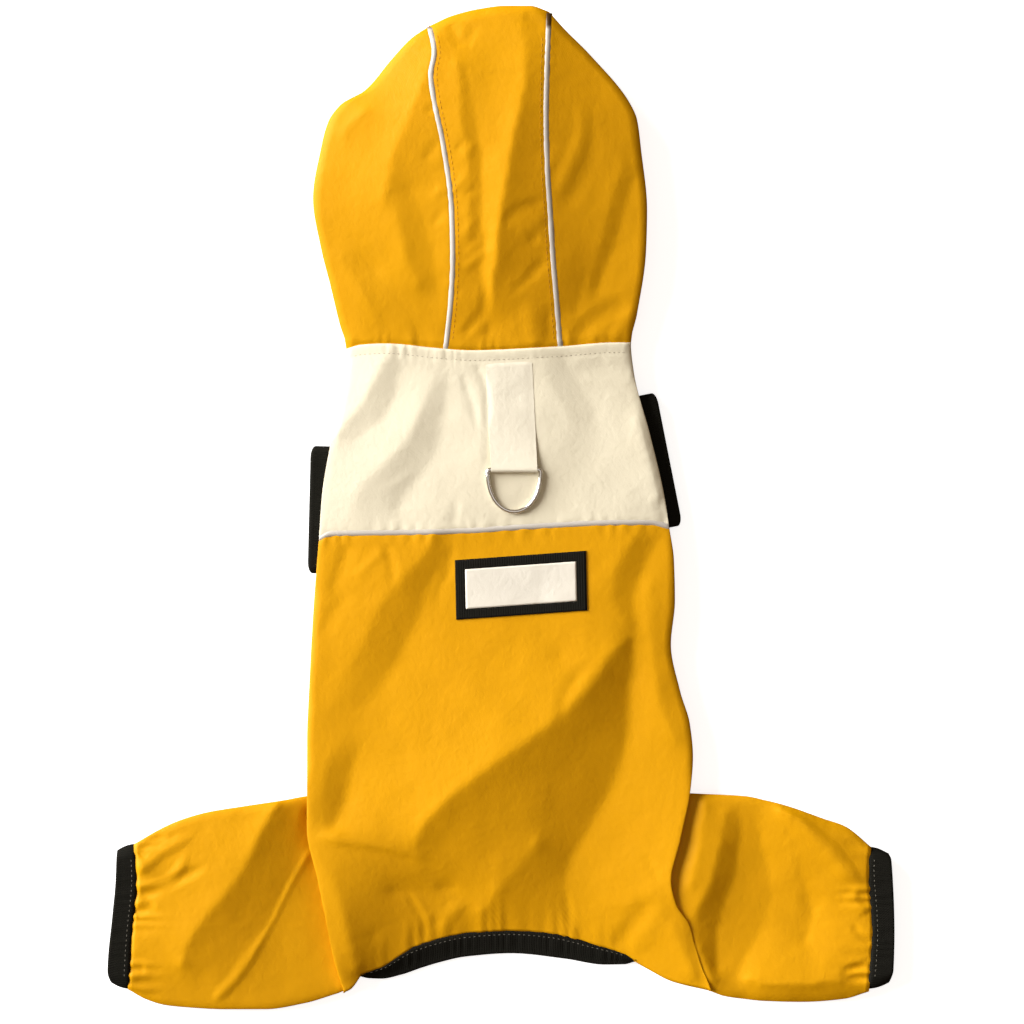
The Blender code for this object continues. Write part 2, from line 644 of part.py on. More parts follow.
def d_ring(yoke_top):
    """Welded wire ring: a straight bar and a round bow that lies on the yoke. Its origin is on the bar."""
    half = (RING_INSIDE + RING_WIRE) / 2
    bar_z = ring_bar_height(yoke_top)
    corner, bow_steps = 1.3, 18
    points = [(-half + corner, 0), (half - corner, 0)]
    for degrees in (60, 30, 0):
        angle = math.radians(degrees)
        points.append((half - corner + corner * math.cos(angle), -corner + corner * math.sin(angle)))
    bow_depth = RING_LENGTH - corner
    for step in range(1, bow_steps):
        angle = math.pi * step / bow_steps
        points.append((half * math.cos(angle), -corner - bow_depth * math.sin(angle) ** 0.9))
    for degrees in (0, 30, 60):
        angle = math.radians(degrees)
        points.append((-half + corner - corner * math.cos(angle), -corner + corner * math.sin(angle)))
    lowest = max(yoke_top(RING_CENTRE_X + x, RING_BAR_Y + y) for x, y in points if y < -corner)
    drop = bar_z - (lowest + 0.4 + RING_WIRE / 2)
    curve = bpy.data.curves.new("d_ring", "CURVE")
    curve.dimensions = "3D"
    curve.bevel_depth = RING_WIRE / 2 * MM
    curve.bevel_resolution = 2
    line = curve.splines.new("POLY")
    line.points.add(len(points) - 1)
    line.use_cyclic_u = True
    for point, (x, y) in zip(line.points, points):
        point.co = (x * MM, y * MM, 0, 1)
    curve.materials.append(finish_of("d_ring", (0.62, 0.62, 0.60), 0.25, metallic=1.0))
    ring = bpy.data.objects.new("d_ring", curve)
    ring.location = Vector((RING_CENTRE_X, RING_BAR_Y, bar_z)) * MM
    ring.rotation_euler = (math.asin(drop / RING_LENGTH), 0, 0)
    bpy.context.scene.collection.objects.link(ring)
    return ring


LABEL_CENTRE, LABEL_SIZE, LABEL_BORDER, LABEL_TURN = (11.0, -38.3), (65.6, 29.8), 5.0, math.radians(4.1)


def label_piece(name, lines_x, lines_y, back_top, material, wall, cut=None):
    """A flat woven piece on the back; lines_x and lines_y are its grid lines from the label's corner."""

    def place(column, row):
        along = lines_x[round(column)] - LABEL_SIZE[0] / 2
        up = lines_y[round(row)] - LABEL_SIZE[1] / 2
        x = LABEL_CENTRE[0] + along * math.cos(LABEL_TURN) - up * math.sin(LABEL_TURN)
        y = LABEL_CENTRE[1] + along * math.sin(LABEL_TURN) + up * math.cos(LABEL_TURN)
        return x, y, back_top(x, y) + LIFT + wall

    return cloth_piece(name, len(lines_x) - 1, len(lines_y) - 1, place, material, wall, cut=cut)


def label_lines(start, end, count):
    return [blend(start, end, step / count) for step in range(count + 1)]


def label_pieces(back_top):
    inner_x = label_lines(LABEL_BORDER, LABEL_SIZE[0] - LABEL_BORDER, 10)
    inner_y = label_lines(LABEL_BORDER, LABEL_SIZE[1] - LABEL_BORDER, 4)
    border_x, border_y = [0, *inner_x, LABEL_SIZE[0]], [0, *inner_y, LABEL_SIZE[1]]

    def is_window(column, row):
        return 1 < column < len(border_x) - 2 and 1 < row < len(border_y) - 2

    label_piece("label_border", border_x, border_y, back_top, black_binding, 1.1, cut=is_window)
    for lines in (inner_x, inner_y):
        lines[0] += SEAM
        lines[-1] -= SEAM
    label_piece("label_insert", inner_x, inner_y, back_top, cream_cloth, 1.0)


# The rear legs and their cuffs: flattened tubes

LEG_TOP_COLUMNS, LEG_UNDER_COLUMNS, LEG_ROWS, CUFF_ROWS = 12, 10, 12, 2


def tube_point(column, top_line, bottom_line, height, reach, x_at):
    """A point of a flattened tube's section: column runs over the top, then back under it."""
    x = x_at((top_line(x_at(-200)) + bottom_line(x_at(-200))) / 2)
    for _ in range(5):
        top, bottom = top_line(x), bottom_line(x)
        if column <= LEG_TOP_COLUMNS:
            share = (1 - math.cos(math.pi * column / LEG_TOP_COLUMNS)) / 2
        else:
            share = (1 + math.cos(math.pi * (column - LEG_TOP_COLUMNS) / LEG_UNDER_COLUMNS)) / 2
        y = blend(bottom, top, share)
        x = x_at(y)
    high = height(x, y)
    low = FOLD_SHARE * high
    inside = min(y - bottom, top - y)
    if column <= LEG_TOP_COLUMNS:
        edge = rounded((y - bottom) / reach) * rounded((top - y) / reach)
        return x, y, low + (high - low) * edge
    return x, y, low * (1 - rounded(inside / SIDE_ROUND))


def leg(side):
    shape = LEG[side]
    columns = LEG_TOP_COLUMNS + LEG_UNDER_COLUMNS
    sign = -shape["inward"]

    def hip_x(y):
        return shape["outline"](min(y, -141)) + shape["inward"] * LEG_TUCK

    def place(column, row):
        share = row / LEG_ROWS
        share = blend(share, share**2, 0.5)

        def x_at(y):
            return blend(shape["cuff_inside"](y), hip_x(y), share)

        def height(x, y):
            return LEG_HEIGHT(abs(x)) + folds(x, y) * ease((abs(x) - 100) / 12)

        x, y, z = tube_point(column, shape["top"], shape["bottom"], height, LEG_REACH, x_at)
        pleat = gathers(y, abs(x - shape["cuff_inside"](y)))
        inside = ease((y - shape["bottom"](x)) / 6) * ease((shape["top"](x) - y) / 6)
        if column <= LEG_TOP_COLUMNS:
            return x, y, z + pleat * inside
        return x, y, z + abs(pleat) * inside * 0.6

    over, under = (2, LEG_TOP_COLUMNS - 2), (LEG_TOP_COLUMNS + 2, columns - 2)
    finer = [(0, last_row, *block) for last_row in (4, 1) for block in (over, under)]
    return cloth_piece(
        f"leg_{side}", columns, LEG_ROWS, place, yellow_cloth, finer=finer, turn_over=sign < 0
    )


def leg_cuff(side):
    shape = LEG[side]
    columns = LEG_TOP_COLUMNS + LEG_UNDER_COLUMNS
    sign = -shape["inward"]
    inner_top, inner_bottom = shape["top"](shape["cuff_inside"](-170)), shape["bottom"](sign * 187)

    def place(column, row):
        share = row / CUFF_ROWS

        def x_at(y):
            return blend(shape["cuff_inside"](y) + sign * 1.7 * SEAM, shape["cuff_outside"](y), share)

        def top_line(x):
            return inner_top - 3.2 * share**2

        def bottom_line(x):
            return inner_bottom + 3.2 * share**2

        def height(x, y):
            return CUFF_HEIGHT

        return tube_point(column, top_line, bottom_line, height, 7.0, x_at)

    return cloth_piece(
        f"leg_cuff_{side}", columns, CUFF_ROWS, place, black_binding, BINDING, turn_over=sign > 0
    )


# The binding rings of the two front leg holes, which show at the sides

FRONT_CUFF_LENGTH, FRONT_CUFF_WIDTH, FRONT_CUFF_HEIGHT, FRONT_CUFF_WALL = 64.0, 12.0, 7.2, 1.2
FRONT_CUFFS = {  # (x of the outer edge's middle, y of its middle, turn in degrees, side sign)
    "left": (-96.2, -0.5, -1.4, -1),
    "right": (84.4, 25.0, 11.2, 1),
}


def front_cuff(side):
    edge_x, edge_y, degrees, sign = FRONT_CUFFS[side]
    turn = math.radians(degrees)
    half_flat = (FRONT_CUFF_LENGTH - FRONT_CUFF_HEIGHT) / 2
    radius = FRONT_CUFF_HEIGHT / 2
    flat_columns, round_columns, rows = 5, 5, 2
    columns = 2 * (flat_columns + round_columns)

    def place(column, row):
        half_turn, rest = divmod(column, flat_columns + round_columns)
        direction = 1 if half_turn % 2 == 0 else -1
        if rest <= flat_columns:
            along, high = blend(-half_flat, half_flat, rest / flat_columns), radius
        else:
            angle = math.pi / 2 - math.pi * (rest - flat_columns) / round_columns
            along, high = half_flat + radius * math.cos(angle), radius * math.sin(angle)
        along, high = along * direction, high * direction + radius
        inward = -sign * FRONT_CUFF_WIDTH * row / rows
        x = edge_x + inward * math.cos(turn) - along * math.sin(turn)
        y = edge_y + inward * math.sin(turn) + along * math.cos(turn)
        return x, y, high

    return cloth_piece(
        f"front_cuff_{side}", columns, rows, place, black_binding, FRONT_CUFF_WALL, turn_over=sign < 0
    )


# The belly: two pieces that lap at the middle

BELLY_MIDDLE, BELLY_LAP, BELLY_STEP = -6.0, 10.0, 1.3
BELLY_REAR_MIDDLE_Y, BELLY_REAR_SIDE_Y = -100.0, -172.0


def belly(side):
    left = side == "left"
    columns, rows = 8, 11
    outline = OUTLINE_LEFT if left else OUTLINE_RIGHT
    sign = 1 if left else -1

    def place(column, row):
        across = column / columns
        y = blend(NECK_SEAM(BELLY_MIDDLE), BELLY_REAR_SIDE_Y, row / rows)
        middle_x = BELLY_MIDDLE + sign * BELLY_LAP
        for _ in range(3):
            side_x = outline(y) + sign * BELLY_INSET
            x = blend(side_x, middle_x, across)
            off_middle = min(abs((x - BELLY_MIDDLE) / 76), 1)
            rear_y = blend(BELLY_REAR_MIDDLE_Y, BELLY_REAR_SIDE_Y, off_middle**2)
            y = blend(NECK_SEAM(BELLY_MIDDLE) - SEAM, rear_y, row / rows)
        lap = ease((x - (BELLY_MIDDLE - BELLY_LAP - 9)) / 8) if left else 0
        return x, y, BELLY_STEP * lap

    return cloth_piece(f"belly_{side}", columns, rows, place, yellow_cloth, turn_over=not left)


def main():
    clear_scene()
    hood_center()
    yoke_top = outer_height(yoke())
    back_top = outer_height(back_panel())
    yoke_piping()
    leash_tab(yoke_top)
    d_ring(yoke_top)
    label_pieces(back_top)
    rear_hem_binding()
    for side in ("left", "right"):
        hood_side(side)
        hood_piping(side)
        leg(side)
        leg_cuff(side)
        front_cuff(side)
        belly(side)


main()
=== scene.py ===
"""A hooded dog raincoat, laid flat with its back up: its cloth, trimmings and finishes.

Lengths are millimetres, and become metres where a mesh is made. +Y points from the tail to the hood.
"""

import json
import math

import bmesh
import bpy
import numpy as np
from mathutils import Matrix, Vector


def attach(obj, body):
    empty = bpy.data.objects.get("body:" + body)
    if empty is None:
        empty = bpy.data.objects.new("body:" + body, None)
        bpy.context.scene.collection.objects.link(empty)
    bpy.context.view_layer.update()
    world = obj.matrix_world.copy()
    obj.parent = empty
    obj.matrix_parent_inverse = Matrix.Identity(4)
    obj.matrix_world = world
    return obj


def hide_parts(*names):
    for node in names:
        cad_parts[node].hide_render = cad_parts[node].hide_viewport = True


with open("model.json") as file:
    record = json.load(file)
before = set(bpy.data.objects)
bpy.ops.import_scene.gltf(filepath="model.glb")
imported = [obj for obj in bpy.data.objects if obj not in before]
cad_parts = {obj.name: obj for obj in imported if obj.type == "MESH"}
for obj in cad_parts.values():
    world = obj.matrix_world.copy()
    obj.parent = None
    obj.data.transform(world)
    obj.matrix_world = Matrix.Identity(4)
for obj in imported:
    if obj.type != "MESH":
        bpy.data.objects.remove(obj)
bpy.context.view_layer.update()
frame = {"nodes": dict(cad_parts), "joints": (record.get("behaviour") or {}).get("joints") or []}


# The table, the light and the camera
# The coat lies on a white table, lit by one large soft light from beyond its left shoulder, a soft box
# overhead and a dim warm room. The camera looks straight down on it from two metres.

MM = 0.001
VIEW_CENTRE, VIEW_WIDTH = (5.5, -1.75), 512.0
CAMERA_DISTANCE, COAT_MIDDLE_HEIGHT = 2000.0, 12.0
LIGHT_COMPASS, LIGHT_RISE, LIGHT_SPREAD = math.radians(155), math.radians(19), math.radians(46)
LIGHT_STRENGTH, SKY_STRENGTH = 7.8, 0.185
ROOM_COLOUR, CEILING_COLOUR, SOFT_BOX_COLOUR = (0.68, 0.41, 0.16), (1.38, 1.12, 0.88), (4.5, 4.3, 4.0)
TABLE_SIDE, TABLE_DROP, TABLE_GLOW = 8000.0, 0.3, 0.8

camera = bpy.data.objects.new("camera", bpy.data.cameras.new("camera"))
camera.data.sensor_width = 36
camera.data.lens = camera.data.sensor_width * CAMERA_DISTANCE / VIEW_WIDTH
camera.location = Vector((*VIEW_CENTRE, CAMERA_DISTANCE + COAT_MIDDLE_HEIGHT)) * MM
bpy.context.scene.collection.objects.link(camera)
bpy.context.scene.camera = camera
bpy.context.scene.view_settings.view_transform = "Standard"

key_light = bpy.data.objects.new("key_light", bpy.data.lights.new("key_light", "SUN"))
key_light.data.energy = LIGHT_STRENGTH
key_light.data.angle = LIGHT_SPREAD
towards_light = Vector((
    math.cos(LIGHT_COMPASS) * math.cos(LIGHT_RISE),
    math.sin(LIGHT_COMPASS) * math.cos(LIGHT_RISE),
    math.sin(LIGHT_RISE),
))
key_light.rotation_euler = towards_light.to_track_quat("Z", "Y").to_euler()
bpy.context.scene.collection.objects.link(key_light)


class Value:
    """A node's output that takes part in sums: each operator adds a Math node."""

    def __init__(self, finish, socket):
        self.finish, self.socket = finish, socket

    def __add__(self, other):
        return self.finish.maths("ADD", self, other)

    def __mul__(self, other):
        return self.finish.maths("MULTIPLY", self, other)

    __radd__, __rmul__ = __add__, __mul__


class Finish:
    """A material whose nodes are added one by one before its main shader."""

    def __init__(self, name, colour, roughness, specular=0.5, metallic=0.0):
        self.material = bpy.data.materials.new(name)
        self.material.use_nodes = True
        self.nodes, self.links = self.material.node_tree.nodes, self.material.node_tree.links
        self.shader = self.nodes["Principled BSDF"]
        self.give("Base Color", (*colour, 1))
        self.give("Roughness", roughness)
        self.give("Specular IOR Level", specular)
        self.give("Metallic", metallic)

    def feed(self, socket, value):
        if isinstance(value, Value):
            self.links.new(value.socket, socket)
        else:
            socket.default_value = value

    def give(self, socket_name, value):
        self.feed(self.shader.inputs[socket_name], value)

    def add(self, kind, settings=None, sockets=None, output=0):
        node = self.nodes.new(kind)
        for setting, value in (settings or {}).items():
            setattr(node, setting, value)
        for socket, value in (sockets or {}).items():
            self.feed(node.inputs[socket], value)
        return Value(self, node.outputs[output])

    def place(self):
        """The place on the object, in metres."""
        return self.add("ShaderNodeTexCoord", output=3)

    def parts(self, vector):
        """The x, y and z of a vector."""
        first = self.add("ShaderNodeSeparateXYZ", None, {0: vector})
        return [Value(self, output) for output in first.socket.node.outputs]

    def maths(self, operation, first, second):
        return self.add("ShaderNodeMath", {"operation": operation}, {0: first, 1: second})

    def mix(self, share, first, second):
        """The first colour where the share is 0, and the second where it is 1."""
        first, second = (colour if isinstance(colour, Value) else (*colour, 1) for colour in (first, second))
        return self.add("ShaderNodeMix", {"data_type": "RGBA"}, {0: share, 6: first, 7: second}, output=2)

    def noise(self, vector, scale, detail=2.0, distortion=0.0):
        sockets = {"Vector": vector, "Scale": scale, "Detail": detail, "Distortion": distortion}
        return self.add("ShaderNodeTexNoise", None, sockets)

    def bump(self, height, distance, strength=1.0, below=None):
        sockets = {"Height": height, "Distance": distance, "Strength": strength}
        if below:
            sockets["Normal"] = below
        return self.add("ShaderNodeBump", None, sockets)


class Sky(Finish):
    """The world, whose nodes are added in the same way before its background."""

    def __init__(self, name):
        self.world = bpy.data.worlds.new(name)
        self.world.use_nodes = True
        self.nodes, self.links = self.world.node_tree.nodes, self.world.node_tree.links
        self.shader = self.nodes["Background"]


sky = Sky("sky")
upwards = sky.maths("MAXIMUM", sky.parts(sky.add("ShaderNodeTexCoord"))[2], 0.0)
room = sky.mix(sky.maths("POWER", upwards, 2.0), ROOM_COLOUR, CEILING_COLOUR)
sky.give("Color", sky.mix(sky.maths("POWER", upwards, 14.0), room, SOFT_BOX_COLOUR))
sky.give("Strength", SKY_STRENGTH)
bpy.context.scene.world = sky.world


def shown(name, maker, finish):
    """An object in the scene, with the shape in a bmesh and one finish."""
    mesh = bpy.data.meshes.new(name)
    maker.to_mesh(mesh)
    maker.free()
    mesh.shade_smooth()
    mesh.materials.append(finish.material)
    piece = bpy.data.objects.new(name, mesh)
    bpy.context.scene.collection.objects.link(piece)
    return piece


table_finish = Finish("white_table", (0.93, 0.93, 0.925), 0.6)
table_finish.give("Normal", table_finish.bump(table_finish.noise(table_finish.place(), 900), 0.00002))
table_finish.give("Emission Color", (1, 1, 1, 1))
table_finish.give("Emission Strength", TABLE_GLOW)
maker = bmesh.new()
bmesh.ops.create_grid(maker, x_segments=2, y_segments=2, size=TABLE_SIDE / 2 * MM)
bmesh.ops.translate(maker, verts=maker.verts, vec=(0, 0, -TABLE_DROP * MM))
table = shown("table", maker, table_finish)
table.visible_diffuse = table.visible_glossy = False


# The back panel
# One sheet of golden coated polyester over the back and round both sides. It is cut at the yoke seam and
# at the rear hem, where it is gathered into an elastic binding, and it lies in the folds tabled here.


class Track:
    """A smooth curve through the rows of a short table (position, value)."""

    def __init__(self, *rows):
        self.at, self.value = np.array(sorted(rows), dtype=float).T
        steps = np.diff(self.value) / np.diff(self.at)
        before, after = steps[:-1], steps[1:]
        turning = before * after <= 0
        inner = np.where(turning, 0, 2 * before * after / np.where(turning, 1, before + after))
        self.slope = np.concatenate((steps[:1], inner, steps[-1:]))

    def __call__(self, position):
        t = np.clip(position, self.at[0], self.at[-1])
        i = np.clip(np.searchsorted(self.at, t, side="right") - 1, 0, len(self.at) - 2)
        width = self.at[i + 1] - self.at[i]
        s = (t - self.at[i]) / width
        return (
            self.value[i] * (1 + 2 * s) * (1 - s) ** 2
            + self.slope[i] * width * s * (1 - s) ** 2
            + self.value[i + 1] * s * s * (3 - 2 * s)
            - self.slope[i + 1] * width * s * s * (1 - s)
        )


OUTLINE_LEFT = Track(  # (y, x)
    (241, -35.5), (235, -44.5), (224, -55), (209, -68), (202, -80), (193, -86.5), (180, -90),
    (155, -94), (130, -90), (112, -85.5), (93, -81), (80, -77.5), (67, -78.5), (34, -85),
    (7, -89.5), (-14, -91), (-53, -94), (-91, -96), (-116, -97), (-160, -97), (-186, -91.5),
    (-206, -87.5), (-226, -83.5), (-241, -79),
)
OUTLINE_RIGHT = Track(
    (248, 24), (239, 32), (227, 44), (203, 64), (194, 68), (179, 70), (149, 73), (129, 72.5),
    (97, 68), (83, 65), (68, 66.5), (37, 74.5), (7, 81.5), (-9, 84), (-26, 86.5), (-46, 87),
    (-68, 85), (-91, 89.5), (-108, 94.5), (-124, 96), (-138, 95), (-166, 89.5), (-186, 85),
    (-198, 87.5), (-208, 94), (-218, 96.8), (-230, 100.5), (-237, 103.5), (-241, 105),
)
CROWN_LINE = Track((-35.5, 241), (-24.5, 246), (-10.5, 249.5), (2, 251), (14.5, 251), (24, 248))  # (x, y)
YOKE_SEAM = Track(
    (-91, -15), (-84.5, -12.5), (-50, -12), (-14.5, -11), (14.5, -9), (62, -7), (74.5, -7), (84, -9)
)
HEM_LINE = Track(
    (-79, -242.5), (-75, -240.5), (-72, -236.5), (-70.5, -234), (-66, -232.6), (-58, -229.5),
    (-52.5, -225.8), (-46.5, -221.8), (-37, -218), (-18, -213.5), (5, -212), (24.5, -213.5),
    (44.5, -218.5), (62, -224), (66.5, -227), (74.5, -231.5), (85.5, -237), (104.5, -241.5),
)
SIDE_HEIGHT_LEFT = Track(  # (y, height at which the top of the coat rounds off to its side)
    (251, 17), (235, 16.5), (215, 14.5), (150, 14), (115, 12), (95, 10), (80, 9), (40, 10.5), (0, 11.5),
    (-60, 12), (-110, 12.8), (-150, 13.4), (-200, 13), (-225, 11.8), (-241, 10),
)
SIDE_HEIGHT_RIGHT = Track(
    (251, 17.5), (235, 17), (150, 16.5), (115, 15.2), (95, 13), (80, 12.2), (40, 13.2), (0, 14), (-60, 13.2),
    (-110, 13.6), (-150, 14), (-190, 13.4), (-206, 11.4), (-220, 9.9), (-240, 9.1),
)
EDGE_REACH = Track((251, 6), (200, 5), (100, 4), (-170, 4), (-240, 4.5))  # (y, width of that rounding)
SIDE_LIP = Track((-90, 13), (-140, 9), (-225, 8), (-240, 6))  # (y, width of the turned-in side)
HEM_HEIGHT = Track(  # (x, top of the cloth at the rear hem)
    (-79, 10), (-73, 9.2), (-69, 7.4), (-61, 5.8), (-46, 4.8), (-25, 4.2), (50, 3.8), (62, 4.4), (75, 6),
    (86, 7.2), (97, 8), (105, 8.3)
)
UNDERLAY_LEFT = Track(  # (y, underside of the turned-in side), above belly, front cuff and leg
    (100, 0), (84, 1.3), (44, 1.3), (34, 7.8), (-35, 7.8), (-45, 1.3), (-126, 1.3), (-141, 9.8),
    (-212, 9.8), (-228, 8.4), (-241, 6.6),
)
UNDERLAY_RIGHT = Track(
    (100, 0), (84, 1.3), (70, 1.3), (60, 7.8), (-12, 7.8), (-22, 1.3), (-126, 1.3), (-141, 9.8),
    (-205, 9.6), (-216, 8.8), (-241, 8.4),
)
SIDE_LIP_START, SIDE_LIP_GROWTH, SIDE_LIP_LEAST = -243.0, 12.0, 0.1  # it narrows towards the hem
SIDE_ROUND, FOLD_SHARE, LEAST_FOLD = 5.0, 0.88, 1.2
SHELL = 0.45  # the cloth's thickness with its coating

# Lines of the hood, the yoke and the back that the cloth is stretched over: points (x, y, height).
CREASES = (
    (
        (10, 240, 20), (11.5, 227, 22.4), (12, 214, 24.5), (9.5, 199, 26.3), (7, 189, 27), (4.5, 174, 27),
        (2, 159, 26.8), (-0.5, 144, 26), (-2, 129, 24.4), (-3.5, 114, 21.6), (-4.5, 99, 17.6),
        (-6.5, 88, 14.8),
    ),
    (
        (-19.5, 222, 22.4), (-14.5, 204, 23.8), (-12, 189, 24.4), (-10.5, 174, 24.2), (-10.5, 159, 24.2),
        (-9.5, 144, 23.6), (-9, 129, 22.2), (-10.5, 112, 19.2),
    ),
    (
        (-22, 223, 22.7), (-19.5, 204, 24.3), (-19, 189, 25), (-17, 174, 24.8), (-16.5, 159, 24.7),
        (-15.5, 144, 24), (-15, 129, 22.6),
    ),
    (
        (-32, 234, 20), (-34.5, 217, 22), (-30.5, 195, 23.6), (-26.5, 172, 23.8), (-24.5, 149, 23.2),
        (-23.5, 127, 21.4), (-24.5, 104, 18), (-27, 87, 14.8),
    ),
    (
        (23.5, 237, 19.6), (22.5, 217, 22.4), (22.5, 194, 24), (23, 172, 23.7), (24.5, 148, 22.3),
        (26.5, 124, 20.1), (28, 102, 16.8), (29.5, 87, 14.2),
    ),
    (
        (-35, 223, 21), (-40, 208, 22.4), (-46, 192, 22.8), (-52.5, 179, 22.4), (-55.5, 164, 21.8),
        (-58.5, 152, 20.8),
    ),
    ((-54.5, 156, 21.1), (-50.5, 142, 20.8), (-47, 127, 19.8), (-41, 112, 18)),
    ((-45.5, 158, 21), (-38.5, 142, 20.6), (-34.5, 125, 19.4), (-32, 105, 17)),
    ((-80.5, 127, 14.6), (-67.5, 107, 14.6), (-56.5, 84, 12.6)),
    ((-69.5, 125, 15.4), (-51.5, 104, 15.4), (-39.5, 83, 13.2)),
    ((-78, 187, 17.4), (-66.5, 198, 18.4)),
    (
        (60.5, 174, 18.6), (55.5, 159, 19), (52, 144, 18.6), (48.5, 129, 17.6), (43, 114, 16),
        (37.5, 98, 14.6),
    ),
    ((66.5, 164, 17), (62, 147, 16.8), (55.5, 127, 15.8), (48.5, 109, 14.2)),
    ((-57, 76, 13.6), (-64.5, 62, 13.4), (-69.5, 52, 12.9), (-81.5, 39, 12)),
    ((-49.5, 75, 13.3), (-52, 62, 12.8), (-56.5, 49, 12.6), (-73.5, 33, 11.9)),
    (
        (-29.5, 71, 13.9), (-35.5, 59, 14.4), (-40.5, 49, 14.8), (-45, 39, 14.8), (-51, 29, 14.5),
        (-60.5, 20, 14), (-69.5, 12, 13.5), (-74.5, -2, 13),
    ),
    (
        (-26, 65, 13.9), (-28, 54, 13.8), (-29.5, 44, 13.6), (-31.5, 34, 13.4), (-36.5, 22, 13.1),
        (-45.5, 11, 12.9), (-52, 0, 12.7),
    ),
    (
        (-10.5, 72, 14.7), (-10.5, 52, 14.8), (-10.5, 38, 15), (-10.5, 27, 15.1), (-9.5, 23, 14.9),
        (-9, 12, 14.5),
    ),
    (
        (5.5, 54, 14.8), (5.5, 38, 15.1), (6, 26, 15.1), (6, 20, 14.6), (6.5, 9, 14.6), (6.5, 2, 14.5),
        (6.5, -7, 14),
    ),
    ((20, 74, 15), (25.5, 59, 15.1), (32.5, 47, 14.9), (40.5, 36, 14.3)),
    ((32.5, 73, 13.7), (40.5, 60, 13.4), (46.5, 48, 13.5), (50.5, 38, 14)),
    ((49.5, 73, 13.2), (59.5, 67, 13.1)),
    ((21, 39, 15), (22.5, 27, 15), (24.5, 14, 14.5), (27.5, -3, 14)),
    ((67.5, 44, 14.2), (73.5, 24, 14.8), (78, 4, 15)),
    (
        (-34.5, -14, 14.8), (-38.5, -23, 15), (-55.5, -41, 15), (-63.5, -56, 14.6), (-70.5, -71, 14),
        (-82.5, -88, 13),
    ),
    (
        (-24.5, -14, 13.6), (-27, -24, 13.4), (-36.5, -41, 13), (-42, -56, 12.7), (-49.5, -71, 12.6),
        (-59, -87, 12.5), (-69.5, -99, 12.6),
    ),
    (
        (65, -62, 14.5), (54, -73, 17), (45.5, -87, 18.2), (32.5, -100, 19.2), (11, -117, 20),
        (-11, -132, 19.8), (-29, -147, 18.6), (-40.5, -161, 16.4), (-41, -172, 13.4),
    ),
    (
        (66, -67, 13.6), (65, -86, 12.4), (64.5, -101, 11.6), (63, -116, 10.9), (58.5, -131, 10.2),
        (52, -146, 9.2), (44, -161, 8.2), (35, -176, 7.2), (31.5, -191, 6.2), (33.5, -206, 4.6),
    ),
    ((66.5, -14, 15.2), (58, -28, 15.4), (55, -41, 15.4), (58, -52, 15.2), (64.5, -61, 14.6)),
    ((78, -16, 13.2), (70.5, -32, 12.8), (66.5, -45, 13.6), (68.5, -60, 13.8)),
    ((73.5, -38, 13.8), (75.5, -66, 14.4), (79.5, -96, 14.4), (87.5, -116, 14.2)),
    ((-82.5, -118, 13.4), (-87.5, -131, 13.6), (-91, -146, 13.4)),
    ((-71.5, -118, 12.8), (-75, -131, 12), (-78.5, -146, 11.6), (-83.5, -159, 12.6)),
    ((-89, -164, 14.8), (-75.5, -166, 14.6), (-58, -169, 13.8), (-42.5, -173, 13)),
    ((-88, -172, 13.8), (-83.5, -186, 13.8), (-79.5, -201, 13.4), (-76, -216, 12.4), (-73, -229, 10.8)),
    ((-54.5, -192, 8.9), (-40.5, -192, 8.4), (-23, -190, 8)),
    ((18, -167, 12.6), (2, -186, 10.6), (-10.5, -202, 7.8)),
    ((-63, -213, 8.4), (-50.5, -208, 7.4), (-34.5, -202, 7.2), (-19.5, -200, 7.2)),
    ((49.5, -198, 7.4), (63.5, -198, 9.4), (75.5, -195, 11.6)),
    ((-10.5, -26, 14.2), (19.5, -46, 14.6), (29.5, -73, 16.2)),
    ((96, -233, 9.9), (91.5, -221, 10.5), (86, -208, 11)),
)
